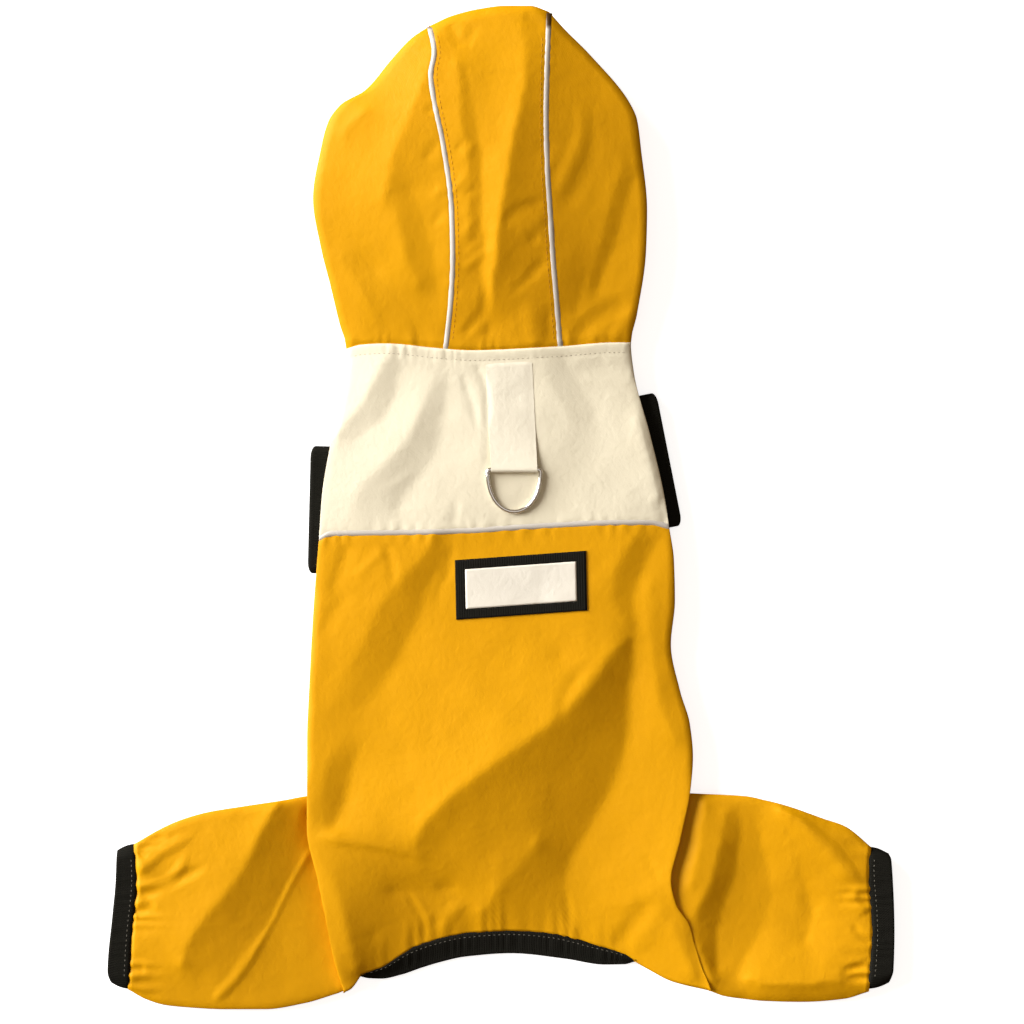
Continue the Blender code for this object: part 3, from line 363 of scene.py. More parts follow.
# Wrinkles on top. Each runs from the tail towards the hood, or else from left to right: height, reach to
# the left of its line, reach to the right, softness of its crest, shares of its length over which it starts
# and ends, then the line's points (x, y).
WRINKLES = (
    (-0.3, 3, 3, 0.4, 0.3, 0.3, (-36.5, 195), (-33.5, 202)),
    (-0.36, 3.5, 3.5, 0.4, 0.3, 0.3, (-38.5, 172), (-30.5, 184)),
    (-0.3, 3, 3, 0.4, 0.3, 0.3, (-34.5, 140), (-27.5, 150)),
    (0.3, 3, 3, 0.4, 0.3, 0.3, (-34.5, 152), (-27.5, 163)),
    (0.3, 2.5, 3, 0.3, 0.3, 0.3, (-18.5, 173), (-12.5, 183)),
    (-0.3, 2.5, 3, 0.3, 0.3, 0.3, (-22.5, 177), (-17.5, 184)),
    (0.3, 2.5, 3, 0.3, 0.3, 0.3, (-24, 158), (-17, 166)),
    (-0.36, 3, 3, 0.3, 0.3, 0.3, (-18.5, 155), (-11.5, 160)),
    (0.24, 3, 3, 0.3, 0.3, 0.3, (-22, 134), (-15.5, 140), (-11.5, 146)),
    (-0.3, 3, 3, 0.3, 0.3, 0.3, (-20.5, 127), (-14.5, 133), (-9.5, 136)),
    (0.36, 3, 3, 0.3, 0.3, 0.3, (-20, 118), (-13.5, 123), (-7.5, 129)),
    (-0.54, 4, 4, 0.3, 0.2, 0.3, (-20.5, 84), (-13.5, 93), (-8.5, 100), (-7.5, 119)),
    (-0.48, 4, 5, 0.3, 0.2, 0.2, (-0.5, 139), (6.5, 147), (14.5, 151), (22, 152)),
    (0.3, 5, 4, 0.3, 0.3, 0.2, (7, 135), (14.5, 140), (22.5, 146)),
    (-0.36, 3, 3, 0.3, 0.3, 0.3, (13.5, 133), (19.5, 135)),
    (-0.48, 4, 4, 0.3, 0.3, 0.2, (4.5, 106), (10.5, 113), (16.5, 118), (24, 125)),
    (0.3, 3, 3, 0.3, 0.3, 0.3, (6.5, 110), (11.5, 116), (14.5, 119)),
    (0.42, 6, 6, 0.5, 0.05, 0.4, (17.5, 81), (15.5, 94), (14.5, 105)),
    (-0.3, 3, 3, 0.4, 0.05, 0.4, (24, 82), (24, 94), (22.5, 104)),
    (-0.36, 4, 4, 0.3, 0.2, 0.1, (-18.5, 229), (-22.5, 235), (-25, 242)),
    (-0.3, 4, 4, 0.3, 0.2, 0.1, (-18, 229), (-15.5, 235), (-12.5, 241)),
    (-0.36, 5, 5, 0.4, 0.3, 0.3, (22, 239), (17, 243), (10.5, 247)),
    (0.4, 5, 6, 0.35, 0.15, 0.2, (27.5, 155), (32.5, 167), (38, 179), (41, 190), (38.5, 204)),
    (-0.25, 6, 6, 0.4, 0.15, 0.3, (26, 153), (34.5, 154), (41, 165), (45.5, 179), (43.5, 197)),
    (-0.6, 6, 6, 0.5, 0.1, 0.2, (35.5, 83), (45.5, 93), (57, 100), (66.5, 103)),
    (0.36, 5, 5, 0.4, 0.1, 0.2, (55.5, 83), (61.5, 92), (66.5, 98)),
    (0.15, 3, 4, 0.3, 0.3, 0.3, (-61.5, 8), (-51.5, 13), (-38, 22)),
    (-0.3, 3, 3, 0.3, 0.3, 0.1, (-11, 36), (-13.5, 49), (-19.5, 68)),
    (-0.36, 3, 2.5, 0.3, 0.3, 0.1, (-7, 37), (-7, 58), (-12.5, 73)),
    (-0.3, 3, 3, 0.4, 0.05, 0.4, (-24.5, -8), (-22.5, 0), (-23, 7)),
    (-0.36, 6, 6, 0.6, 0.2, 0.1, (35.5, 68), (49.5, 70), (65.5, 68)),
    (-0.36, 4, 5, 0.5, 0.1, 0.3, (83.5, -7), (80.5, 0), (79.5, 7)),
    (-0.42, 4, 6, 0.4, 0.3, 0.05, (-85.5, -48), (-82.5, -36), (-76.5, -18)),
    (-0.36, 5, 6, 0.4, 0.3, 0.2, (-89.5, -66), (-83.5, -52), (-75.5, -39)),
    (0.3, 3, 4, 0.4, 0.3, 0.1, (-74.5, -36), (-64.5, -26), (-58, -20)),
    (-0.36, 3, 4, 0.4, 0.3, 0.05, (-54, -42), (-54.5, -31), (-57.5, -18)),
    (-0.3, 3, 3, 0.4, 0.3, 0.1, (-32.5, -52), (-30.5, -41), (-25.5, -27), (-24.5, -18)),
    (-0.24, 2.5, 3, 0.3, 0.3, 0.2, (-27.5, -38), (-25, -29)),
    (0.6, 12, 2.4, 0.3, 0.15, 0.3, (-89, -165), (-75, -167), (-58, -169.5), (-42, -174), (-34, -178)),
    (-0.4, 5, 3, 0.4, 0.3, 0.3, (29, -110), (33, -93), (47, -74)),
    (0.2, 0.6, 1.6, 0.2, 0.1, 0.1, (15.7, 74), (15.6, 79.5)),
    (0.6, 5, 5, 0.35, 0.2, 0.3, (-30.5, -215), (-24.5, -203), (-16.5, -197)),
    (-0.36, 3, 3, 0.3, 0.1, 0.3, (-38.5, -216), (-40.5, -203), (-48.5, -190)),
    (0.3, 3, 3, 0.3, 0.2, 0.3, (-34.5, -211), (-40.5, -198), (-46.5, -190)),
    (0.24, 4, 8, 0.3, 0.3, 0.3, (-4.5, -198), (-1.5, -181), (-0.5, -168)),
    (-0.36, 2.5, 3, 0.3, 0.1, 0.3, (36, -211), (33, -198), (33.5, -190)),
    (-0.72, 6, 6, 0.35, 0.1, 0.3, (57.5, -221), (64.5, -210), (72, -200), (78.5, -192)),
    (0.3, 6, 5, 0.4, 0.2, 0.3, (67.5, -223), (74.5, -211), (83.5, -196)),
    (-0.24, 4, 4, 0.4, 0.3, 0.3, (79.5, -188), (74.5, -177), (72.5, -171)),
)
CREASE_CELL, CREASE_ROUNDS = 2.0, 160
COAT_CORNERS = (-104, -250), (112, 260)


def blend(start, end, share):
    return start + (end - start) * share


def ease(share):
    share = np.clip(share, 0, 1)
    return share * share * (3 - 2 * share)


def fade(distance, reach):
    """1 at a seam or an edge, and 0 from its reach on."""
    return 1 - ease(distance / reach)


def within(position, start, end, rise, fall):
    """1 along a stretch from its start to its end, and 0 beyond it, with soft ends inside it."""
    return ease((position - start) / rise) * ease((end - position) / fall)


def rounded(share):
    """Height of a quarter round: 0 at its foot, 1 from its crest on."""
    return np.sqrt(1 - (1 - np.clip(share, 0, 1)) ** 2)


def rolled(off_edge, depth, width):
    """Fall of a rolled edge: its whole depth at the edge, and none from its width on."""
    return depth * (1 - rounded(off_edge / width))


def close_at_start(share):
    """A share from 0 to 1 with its steps close together at its start."""
    return 1 - np.cos(np.pi / 2 * np.clip(share, 0, 1))


def close_at_ends(share):
    """A share from 0 to 1 with its steps close together at both ends."""
    return (1 - np.cos(np.pi * share)) / 2


def curve_through(points, steps=6):
    """The points of a line with a smooth curve between them."""
    line = np.array(points, dtype=float)
    ends = np.vstack((2 * line[0] - line[1], line, 2 * line[-1] - line[-2]))
    t = np.arange(steps)[:, None] / steps
    parts = [
        b + (c - a) * t / 2 + (a - 2.5 * b + 2 * c - d / 2) * t**2 + (1.5 * (b - c) + (d - a) / 2) * t**3
        for a, b, c, d in zip(ends, ends[1:], ends[2:], ends[3:])
    ]
    return np.vstack((*parts, line[-1:]))


def near_line(line, x, y):
    """Distance from a line, the place along it as a share, and whether each point is to its left."""
    sides = np.diff(line, axis=0)
    lengths = np.hypot(*sides.T)
    walked = np.concatenate(([0], np.cumsum(lengths)))
    nearest, place, on_left = np.full(x.shape, np.inf), np.zeros(x.shape), np.zeros(x.shape, dtype=bool)
    for (ax, ay), (dx, dy), length, before in zip(line, sides, lengths, walked):
        share = np.clip(((x - ax) * dx + (y - ay) * dy) / length**2, 0, 1)
        distance = np.hypot(x - ax - dx * share, y - ay - dy * share)
        closer = distance < nearest
        nearest = np.where(closer, distance, nearest)
        place = np.where(closer, (before + share * length) / walked[-1], place)
        on_left = np.where(closer, dx * (y - ay) > dy * (x - ax), on_left)
    return nearest, place, on_left


def fold_heights(rows, x, y):
    """Sum of the folds' heights at places on the coat."""
    total = np.zeros(x.shape)
    for height, reach_left, reach_right, softness, start, end, *points in rows:
        line = curve_through(points)
        margin = max(reach_left, reach_right)
        low, high = line.min(axis=0) - margin, line.max(axis=0) + margin
        near = (x > low[0]) & (x < high[0]) & (y > low[1]) & (y < high[1])
        distance, place, on_left = near_line(line, x[near], y[near])
        taper = within(place, 0, 1, start, end)
        reach = np.where(on_left, reach_left, reach_right) * (0.5 + 0.5 * np.sqrt(taper))
        off_crest = np.hypot(distance / reach, softness) - softness
        off_crest = np.minimum(off_crest / (math.hypot(1, softness) - softness), 1)
        total[near] += height * taper * (1 - off_crest) ** 1.2
    return total


class Stretched:
    """Cloth pulled taut over lines (x, y, height) inside a rim, whose height rim(x, y) gives, else nan."""

    def __init__(self, lines, low, high, rim):
        self.low, grid = np.array(low, dtype=float), None
        for cell in (8 * CREASE_CELL, 4 * CREASE_CELL, 2 * CREASE_CELL, CREASE_CELL):
            columns, rows = (np.ceil((np.array(high) - low) / cell) + 1).astype(int)
            x, y = np.meshgrid(low[0] + cell * np.arange(columns), low[1] + cell * np.arange(rows))
            held = rim(x, y)
            total, count = np.zeros_like(held), np.zeros_like(held)
            for line in lines:
                points = curve_through(line, steps=20)
                column, row = np.round((points[:, :2] - self.low) / cell).astype(int).T
                np.add.at(total, (row, column), points[:, 2])
                np.add.at(count, (row, column), 1)
            held = np.where((count > 0) & np.isnan(held), total / np.maximum(count, 1), held)
            if grid is None:
                grid = np.full(x.shape, np.nanmean(held))
            else:
                grid = self.smooth(grid, 2 * cell, x, y)
            for _ in range(CREASE_ROUNDS):
                grid = np.where(np.isnan(held), grid, held)
                wide = np.pad(grid, 1, mode="edge")
                grid = (wide[1:-1, 2:] + wide[1:-1, :-2] + wide[2:, 1:-1] + wide[:-2, 1:-1]) / 4
        self.grid = np.where(np.isnan(held), grid, held)

    def smooth(self, grid, cell, x, y):
        """Heights between the grid's knots, from cubic B-splines."""
        across, up = (x - self.low[0]) / cell, (y - self.low[1]) / cell
        column, row = np.floor(across).astype(int), np.floor(up).astype(int)
        s, t = across - column, up - row
        heights = 0
        for i, down in enumerate(self.shares(t)):
            knot_row = np.clip(row + i - 1, 0, grid.shape[0] - 1)
            for j, along in enumerate(self.shares(s)):
                knot_column = np.clip(column + j - 1, 0, grid.shape[1] - 1)
                heights = heights + down * along * grid[knot_row, knot_column]
        return heights

    @staticmethod
    def shares(t):
        """What each of the four nearest knots gives to a point between the middle two."""
        inner, outer = (3 * t**3 - 6 * t**2 + 4) / 6, (1 + 3 * t + 3 * t**2 - 3 * t**3) / 6
        return (1 - t) ** 3 / 6, inner, outer, t**3 / 6

    def __call__(self, x, y):
        return self.smooth(self.grid, CREASE_CELL, x, y)


def uneven_wave(along, pitch, phase):
    """A wave whose pitch and height wander, for puckers and gathers."""
    turn = math.tau * along / pitch
    drift = 1.8 * np.sin(turn / 4.3 + phase) + 1.1 * np.sin(turn / 2.6 + 2.1 * phase)
    return (0.62 + 0.38 * np.sin(turn / 5.7 + 3.3 * phase)) * np.sin(turn + drift)


def puckers(along, off_seam, height, reach, pitch, phase, fall=1.0):
    """Uneven waves that a seam or an elastic gathers into the cloth beside it."""
    return height * fade(off_seam, reach) ** fall * uneven_wave(along, pitch, phase)


def crumple(x, y, cell, seed):
    """Soft random unevenness between -1 and 1, with bumps about a cell wide."""
    knots = np.random.default_rng(seed).uniform(-1, 1, (64, 64))
    across, up = x / cell + 32, y / cell + 32
    column, row = np.floor(across).astype(int), np.floor(up).astype(int)
    s, t = ease(across - column), ease(up - row)
    column, row = column % 63, row % 63
    low = blend(knots[row, column], knots[row, column + 1], s)
    high = blend(knots[row + 1, column], knots[row + 1, column + 1], s)
    return blend(low, high, t)


def unevenness(x, y, coarse_cell, fine_cell, seed):
    """The small dents that lie all over cloth, coarse ones with finer ones between."""
    return 0.2 * crumple(x, y, coarse_cell, seed) + 0.08 * crumple(x, y, fine_cell, seed + 1)


def side_distances(x, y):
    return x - OUTLINE_LEFT(y), OUTLINE_RIGHT(y) - x


def between_sides(left_track, right_track, x, y):
    """A height that goes from the left side's to the right side's across the coat."""
    left, right = side_distances(x, y)
    return blend(left_track(y), right_track(y), np.clip(left / (left + right), 0, 1))


def side_height(x, y):
    return between_sides(SIDE_HEIGHT_LEFT, SIDE_HEIGHT_RIGHT, x, y)


def underlay(x, y):
    """Lowest height of the coat's turned-in side."""
    return between_sides(UNDERLAY_LEFT, UNDERLAY_RIGHT, x, y)


def fold_line_height(x, y):
    """Height of the line along which the coat's side turns under."""
    low = underlay(x, y)
    return low + np.maximum(LEAST_FOLD, FOLD_SHARE * (side_height(x, y) - low))


def coat_rim(x, y):
    """Height of the coat's cloth on and outside its outline."""
    left, right = side_distances(x, y)
    beside = (left <= 0) | (right <= 0) | (y >= CROWN_LINE(x))
    return np.where(y <= HEM_LINE(x), HEM_HEIGHT(x), np.where(beside, side_height(x, y), np.nan))


coat_form = Stretched(CREASES, *COAT_CORNERS, coat_rim)


def coat_top(x, y):
    """Height of the coat's outer surface, seen from above."""
    reach = EDGE_REACH(y)
    left, right = side_distances(x, y)
    edge = rounded(left / reach) * rounded(right / reach) * rounded((CROWN_LINE(x) - y) / reach)
    high = coat_form(x, y) + fold_heights(WRINKLES, x, y) + unevenness(x, y, 15, 7, seed=3)
    return blend(fold_line_height(x, y), high, edge)


def side_round(x, y):
    """How far in from the outline the underside of the fold curves."""
    return np.minimum(SIDE_ROUND, 1.2 * (fold_line_height(x, y) - underlay(x, y)))


def coat_under(x, y):
    """Height of the coat's outer surface where it has turned under."""
    low = underlay(x, y)
    left, right = side_distances(x, y)
    inside = np.minimum(np.minimum(left, right), CROWN_LINE(x) - y)
    return low + rolled(inside, fold_line_height(x, y) - low, side_round(x, y))


LIP_COLUMNS, TURN_COLUMNS, EDGE_COLUMNS, MIDDLE_COLUMNS = 3, 9, 14, 104
SIDE_COLUMNS = LIP_COLUMNS + TURN_COLUMNS
TOP_COLUMNS = 2 * EDGE_COLUMNS + MIDDLE_COLUMNS
COAT_COLUMNS = 2 * SIDE_COLUMNS + TOP_COLUMNS
START_HALF_WIDTH, PLACE_ROUNDS = 80, 6


def coat_place(column, depth, upper_line, lower_line):
    """Place on the coat: column runs over left lip, top and right lip, and depth 0 to 1 down the panel.

    The panel's lines depend on x and the outlines on y, so the place is closed in on in a few rounds.
    """
    top_column = np.clip(column - SIDE_COLUMNS, 0, TOP_COLUMNS)
    near = np.minimum(top_column, TOP_COLUMNS - top_column)
    x = blend(-START_HALF_WIDTH, START_HALF_WIDTH, top_column / TOP_COLUMNS)
    for _ in range(PLACE_ROUNDS):
        y = blend(upper_line(x), lower_line(x), depth)
        left, right, reach = OUTLINE_LEFT(y), OUTLINE_RIGHT(y), EDGE_REACH(y)
        in_edge = reach * close_at_start(near / EDGE_COLUMNS)
        in_middle = ((right - left) / 2 - reach) * np.maximum(near - EDGE_COLUMNS, 0) * 2 / MIDDLE_COLUMNS
        inside = in_edge + in_middle
        x = np.where(top_column * 2 <= TOP_COLUMNS, left + inside, right - inside)
    height = coat_top(x, y)
    for side, sign in ((OUTLINE_LEFT(y), 1), (OUTLINE_RIGHT(y), -1)):
        turned = SIDE_COLUMNS - column if sign > 0 else column - SIDE_COLUMNS - TOP_COLUMNS
        curved = side_round(side + sign, y)
        inward = curved * close_at_start(turned / TURN_COLUMNS)
        inward += (SIDE_LIP(y) - curved) * np.clip((turned - TURN_COLUMNS) / LIP_COLUMNS, 0, 1)
        inward *= blend(SIDE_LIP_LEAST, 1, ease((y - SIDE_LIP_START) / SIDE_LIP_GROWTH))
        lip_x = side + sign * inward
        x = np.where(turned > 0, lip_x, x)
        height = np.where(turned > 0, coat_under(lip_x, y), height)
    return x, y, height


def cloth(name, columns, rows, place, finish, wall=SHELL, turn_over=False, joined=False, cut=None):
    """A thin cloth piece: place(column, row) gives the millimetres of every point of a grid.

    Its UV map holds the lengths along the cloth, so that a weave keeps its size. joined closes a tube, and
    cut says which of the grid's faces are left out.
    """
    maker = bmesh.new()
    uv_map = maker.loops.layers.uv.new("cloth_lengths")
    bmesh.ops.create_grid(maker, x_segments=columns, y_segments=rows, size=0.5)
    if turn_over:
        bmesh.ops.reverse_faces(maker, faces=maker.faces)
    maker.verts.index_update()
    knots = np.round([((vertex.co.x + 0.5) * columns, (vertex.co.y + 0.5) * rows) for vertex in maker.verts])
    points = np.column_stack(np.broadcast_arrays(*place(*knots.T))) * MM

    order = np.lexsort(knots.T)
    in_rows = points[order].reshape(rows + 1, columns + 1, 3)
    lengths = np.zeros((rows + 1, columns + 1, 2))
    lengths[:, 1:, 0] = np.cumsum(np.linalg.norm(np.diff(in_rows, axis=1), axis=2), axis=1)
    lengths[1:, :, 1] = np.cumsum(np.linalg.norm(np.diff(in_rows, axis=0), axis=2), axis=0)
    lengths[:, :, 0] -= lengths[:, columns // 2, None, 0]
    length_at = np.empty((len(points), 2))
    length_at[order] = lengths.reshape(-1, 2)

    for vertex, point in zip(maker.verts, points):
        vertex.co = point
    for face in maker.faces:
        for corner in face.loops:
            corner[uv_map].uv = length_at[corner.vert.index]
    if cut:
        gone = [
            face for face in maker.faces
            if cut(*np.mean([knots[vertex.index] for vertex in face.verts], axis=0))
        ]
        bmesh.ops.delete(maker, geom=gone, context="FACES")
    if joined:
        bmesh.ops.remove_doubles(maker, verts=maker.verts, dist=0.00002)
    piece = shown(name, maker, finish)
    if wall:
        wall_maker = piece.modifiers.new("wall", "SOLIDIFY")
        wall_maker.thickness = wall * MM
        wall_maker.offset = -1
    return piece


def stitches(name, rows, height, thread, pitch, length, width):
    """Rows of stitches along lines of points (x, y), each a bead of thread that lies at height(x, y)."""
    maker = bmesh.new()
    for line in rows:
        line = np.array(line, dtype=float)
        walked = np.concatenate(([0], np.cumsum(np.hypot(*np.diff(line, axis=0).T))))
        for middle in np.arange(pitch / 2, walked[-1], pitch):
            along = np.array([middle - length / 2, middle + length / 2])
            x, y = (np.interp(along, walked, line[:, axis]) for axis in (0, 1))
            start, end = (Vector(point) for point in zip(x, y, height(x, y)))
            turn = (end - start).to_track_quat("X", "Z").to_matrix().to_4x4()
            size = Matrix.Diagonal((length / 2, width / 2, width / 3, 1))
            place = Matrix.Scale(MM, 4) @ Matrix.Translation((start + end) / 2) @ turn @ size
            bmesh.ops.create_icosphere(maker, subdivisions=1, radius=1, matrix=place)
    piece = shown(name, maker, thread)
    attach(piece, "garment")


def sewing_thread(name, colour):
    """Spun polyester thread: a fine twist in its colour and its surface."""
    finish = Finish(name, colour, 0.6, specular=0.3)
    twist = finish.noise(finish.place(), 3200)
    dark = [0.7 * part for part in colour]
    finish.give("Base Color", finish.mix(twist, dark, colour))
    finish.give("Normal", finish.bump(twist, 0.0001, 0.5))
    return finish


def sewn_on(piece, node, flat=None, area=None):
    """Attach a piece to the garment and hide the CAD part that it replaces. The flat size and area given for
    cloth are not used.
    """
    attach(piece, "garment")
    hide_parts(node)
    if flat:
        more = {"area": area * MM**2} if area else {}


def thread_waves(finish, rate):
    """Sine waves across and along the cloth: rate is their turn in radians over one metre of it."""
    lengths = finish.add("ShaderNodeUVMap", {"uv_map": "cloth_lengths"})
    turns = finish.add("ShaderNodeMapping", None, {"Vector": lengths, "Scale": (rate, rate, rate)})
    return [finish.maths("SINE", turn, 0) for turn in finish.parts(turns)[:2]]


def coated_cloth(name, colour, deep_colour, roughness, specular):
    """Coated polyester: a fine plain weave under a thin coating that is slightly uneven and crinkled."""
    finish = Finish(name, colour, roughness, specular)
    place = finish.place()
    clouds, patches = finish.noise(place, 22, detail=3), finish.noise(place, 160, detail=3)
    finish.give("Base Color", finish.mix(clouds, deep_colour, colour))
    finish.give("Roughness", patches * 0.16 + (roughness - 0.08))
    warp, weft = thread_waves(finish, 8000)
    weave = finish.bump(warp * weft, 0.00004, 0.5)
    crinkle = finish.noise(place, 330, detail=4, distortion=0.4)
    finish.give("Normal", finish.bump(crinkle, 0.00035, 0.5, below=weave))
    return finish


yellow_cloth = coated_cloth(
    "golden_coated_cloth", (0.755, 0.355, 0.001), (0.715, 0.325, 0.001), roughness=0.5, specular=0.12
)

BACK_ROWS = 156
SEAM_GAP = 0.3  # from a seam's line to the cloth's edge on each side of it


def under_piping(off_seam, depth=0.3):
    """How far cloth dips where it goes into a piped seam."""
    return depth * fade(np.abs(off_seam), 2.2)


def back_place(column, row):
    x, y, height = coat_place(column, row / BACK_ROWS, lambda x: YOKE_SEAM(x) - SEAM_GAP, HEM_LINE)
    on_top = (column > SIDE_COLUMNS) & (column < SIDE_COLUMNS + TOP_COLUMNS)
    from_hem, from_yoke = y - HEM_LINE(x), YOKE_SEAM(x) - y
    gathers = within(x, -74, 72, 10, 10) * puckers(
        x, from_hem, height=0.4, reach=26, pitch=7.4, phase=0.7, fall=1.6
    )
    at_seam = puckers(x, from_yoke, height=0.3, reach=9, pitch=8.5, phase=1.9) - under_piping(from_yoke)
    return x, y, height + on_top * (gathers + at_seam)


back_panel = cloth("back_shell", COAT_COLUMNS, BACK_ROWS, back_place, yellow_cloth, turn_over=True)
sewn_on(back_panel, "back_panel", flat=(215, 232))


# The yoke
# A cream panel of the same coated cloth over the shoulders. Its upper edge is turned under and stitched
# down as a casing for the neck elastic, and its lower edge is sewn into the piped seam.

NECK_SEAM = Track(
    (-77.5, 80), (-69.5, 82), (-58, 82.5), (-30.5, 80), (-15.5, 79), (29.5, 81), (57, 83), (65, 83)
)
YOKE_ROWS = 84
CASING_WIDTH, CASING_LIFT, CASING_STEP = 5.0, 0.1, 1.2
CASING_GROOVE_DEPTH, CASING_GROOVE_WIDTH, NECK_ROLL_DEPTH, NECK_ROLL_WIDTH = 0.16, 0.7, 0.25, 0.8

cream_cloth = coated_cloth(
    "cream_coated_cloth", (0.86, 0.79, 0.605), (0.82, 0.74, 0.545), roughness=0.6, specular=0.2
)


def yoke_top(x, y):
    """Height of the yoke's outer surface, with its casing and its puckers."""
    from_neck, from_back = NECK_SEAM(x) - y, y - YOKE_SEAM(x)
    casing = CASING_LIFT * fade(from_neck - CASING_WIDTH + CASING_STEP, CASING_STEP)
    groove = CASING_GROOVE_DEPTH * np.exp(-(((from_neck - CASING_WIDTH) / CASING_GROOVE_WIDTH) ** 2))
    ticks = within(x, -70, -10, 12, 16) * puckers(
        x, from_neck - 1, height=0.3, reach=11, pitch=4.6, phase=0.4
    )
    at_seam = puckers(x, from_back, height=0.22, reach=8, pitch=8, phase=2.6) - under_piping(from_back)
    roll = rolled(from_neck, NECK_ROLL_DEPTH, NECK_ROLL_WIDTH)
    return coat_top(x, y) + casing - groove + ticks + at_seam - roll


def yoke_place(column, row):
    x, y, height = coat_place(column, row / YOKE_ROWS, NECK_SEAM, lambda x: YOKE_SEAM(x) + SEAM_GAP)
    on_top = (column >= SIDE_COLUMNS) & (column <= SIDE_COLUMNS + TOP_COLUMNS)
    return x, y, np.where(on_top, yoke_top(x, y), height)


yoke = cloth("yoke_shell", COAT_COLUMNS, YOKE_ROWS, yoke_place, cream_cloth, turn_over=True)
sewn_on(yoke, "yoke", flat=(196, 96))
cream_thread = sewing_thread("cream_thread", (0.62, 0.53, 0.38))
casing_x = np.linspace(-74, 63, 70)
casing_line = np.column_stack((casing_x, NECK_SEAM(casing_x) - CASING_WIDTH))
stitches(
    "casing_stitches", [casing_line], lambda x, y: yoke_top(x, y) + 0.05, cream_thread,
    pitch=2.4, length=1.6, width=0.4,
)


# The hood
# Three panels of the golden cloth, a narrow middle one and two sides, that turn over the crown and in to
# the face opening below. The neck edges go under the yoke's casing.

HOOD_SEAM = {  # (y, x) of the middle panel's seams
    "left": Track(
        (79, -27.7), (104, -25), (124, -24), (148, -24.5), (180, -28.5), (205, -33.6), (216, -34.9),
        (227, -33.2), (241, -35.8),
    ),
    "right": Track(
        (79, 29.7), (101, 28), (124, 26), (148, 24.5), (172, 23), (195, 22.5), (219, 23), (248, 24)
    ),
}
HOOD_OUTLINE = {"left": OUTLINE_LEFT, "right": OUTLINE_RIGHT}
HOOD_ROWS, HOOD_SIDE_COLUMNS, HOOD_TURN_COLUMNS, HOOD_MIDDLE_COLUMNS = 132, 66, 22, 44
FACE_CENTRE, FACE_HALF_WIDTH, FACE_HALF_HEIGHT = (-9.0, 166.0), 48.0, 58.0
CHIN_SHARE, FOREHEAD_ANGLE = 0.15, math.radians(58)
NECK_Y, FACE_START_Y = 80.0, 81.5  # of the neck's ends, and of its middle below
NECK_TUCK, NECK_DIP = 2.6, 1.5  # how far the hood's neck edges reach under the casing, and dip there
HOOD_SEAM_GAP = 0.15


def hood_rise(row):
    """Place of a row from the neck to the crown: the rows are closer together where the hood rounds off."""
    share = row / HOOD_ROWS
    return blend(share, np.sin(np.pi / 2 * share), 0.45)


def hood_seam_point(side, share):
    """A point of the seam between the side and the middle panel, from the neck to the crown."""
    seam = HOOD_SEAM[side]
    y = blend(NECK_SEAM(seam(NECK_Y)) - NECK_TUCK, seam.at[-1], share)
    return seam(y), y


def under_casing(x, y):
    """How far the hood dips where it goes under the yoke's casing."""
    return NECK_DIP * fade(y - NECK_SEAM(x) + CASING_STEP, NECK_TUCK)


def hood_top(x, y):
    """Height of the hood's outer surface: it sinks under the casing and into its piped seams."""
    at_neck = puckers(x, y - NECK_SEAM(x), height=0.22, reach=9, pitch=7, phase=0.9)
    height = coat_top(x, y) - under_casing(x, y) + at_neck
    for number, seam in enumerate(HOOD_SEAM.values()):
        off_seam = np.abs(x - seam(y))
        height += puckers(y, off_seam, height=0.14, reach=7, pitch=7.8, phase=1.3 + number)
        height -= under_piping(off_seam, 0.25)
    return height


def face_edge(sign, share):
    """Edge of the face opening of a side panel, from the neck up."""
    chin_y = FACE_CENTRE[1] - FACE_HALF_HEIGHT
    angle = blend(-np.pi / 2, FOREHEAD_ANGLE, np.clip((share - CHIN_SHARE) / (1 - CHIN_SHARE), 0, 1))
    below_chin = share < CHIN_SHARE
    x = FACE_CENTRE[0] + sign * np.maximum(FACE_HALF_WIDTH * np.cos(angle), HOOD_SEAM_GAP)
    x = np.where(below_chin, FACE_CENTRE[0] + sign * HOOD_SEAM_GAP, x)
    chin_seam_y = blend(FACE_START_Y, chin_y, share / CHIN_SHARE)
    return x, np.where(below_chin, chin_seam_y, FACE_CENTRE[1] + FACE_HALF_HEIGHT * np.sin(angle))


def hood_point(turned, place_on_top, place_below):
    """A point of the hood, on its top or turned in below it."""
    x, y = (np.where(turned, below, above) for above, below in zip(place_on_top, place_below))
    return x, y, np.where(turned, coat_under(x, y), hood_top(x, y))


def hood_side_place(side, sign):
    outline = HOOD_OUTLINE[side]

    def place(column, row):
        share = hood_rise(row)
        seam_x, seam_y = hood_seam_point(side, share)
        seam_x = seam_x + sign * HOOD_SEAM_GAP
        edge_y = blend(NECK_SEAM(outline(NECK_Y)) - NECK_TUCK, HOOD_SEAM[side].at[-1], share)
        edge_x = outline(edge_y)
        across = np.sin(np.pi / 2 * np.clip(column / HOOD_SIDE_COLUMNS, 0, 1))
        x, y = blend(seam_x, edge_x, across), blend(seam_y, edge_y, across)
        y = y + (NECK_SEAM(x) - NECK_TUCK - y) * fade(share, 0.05)
        under = close_at_start((column - HOOD_SIDE_COLUMNS) / HOOD_TURN_COLUMNS)
        face_x, face_y = face_edge(sign, share)
        below = blend(edge_x, face_x, under), blend(edge_y, face_y, under)
        return hood_point(column > HOOD_SIDE_COLUMNS, (x, y), below)

    return place


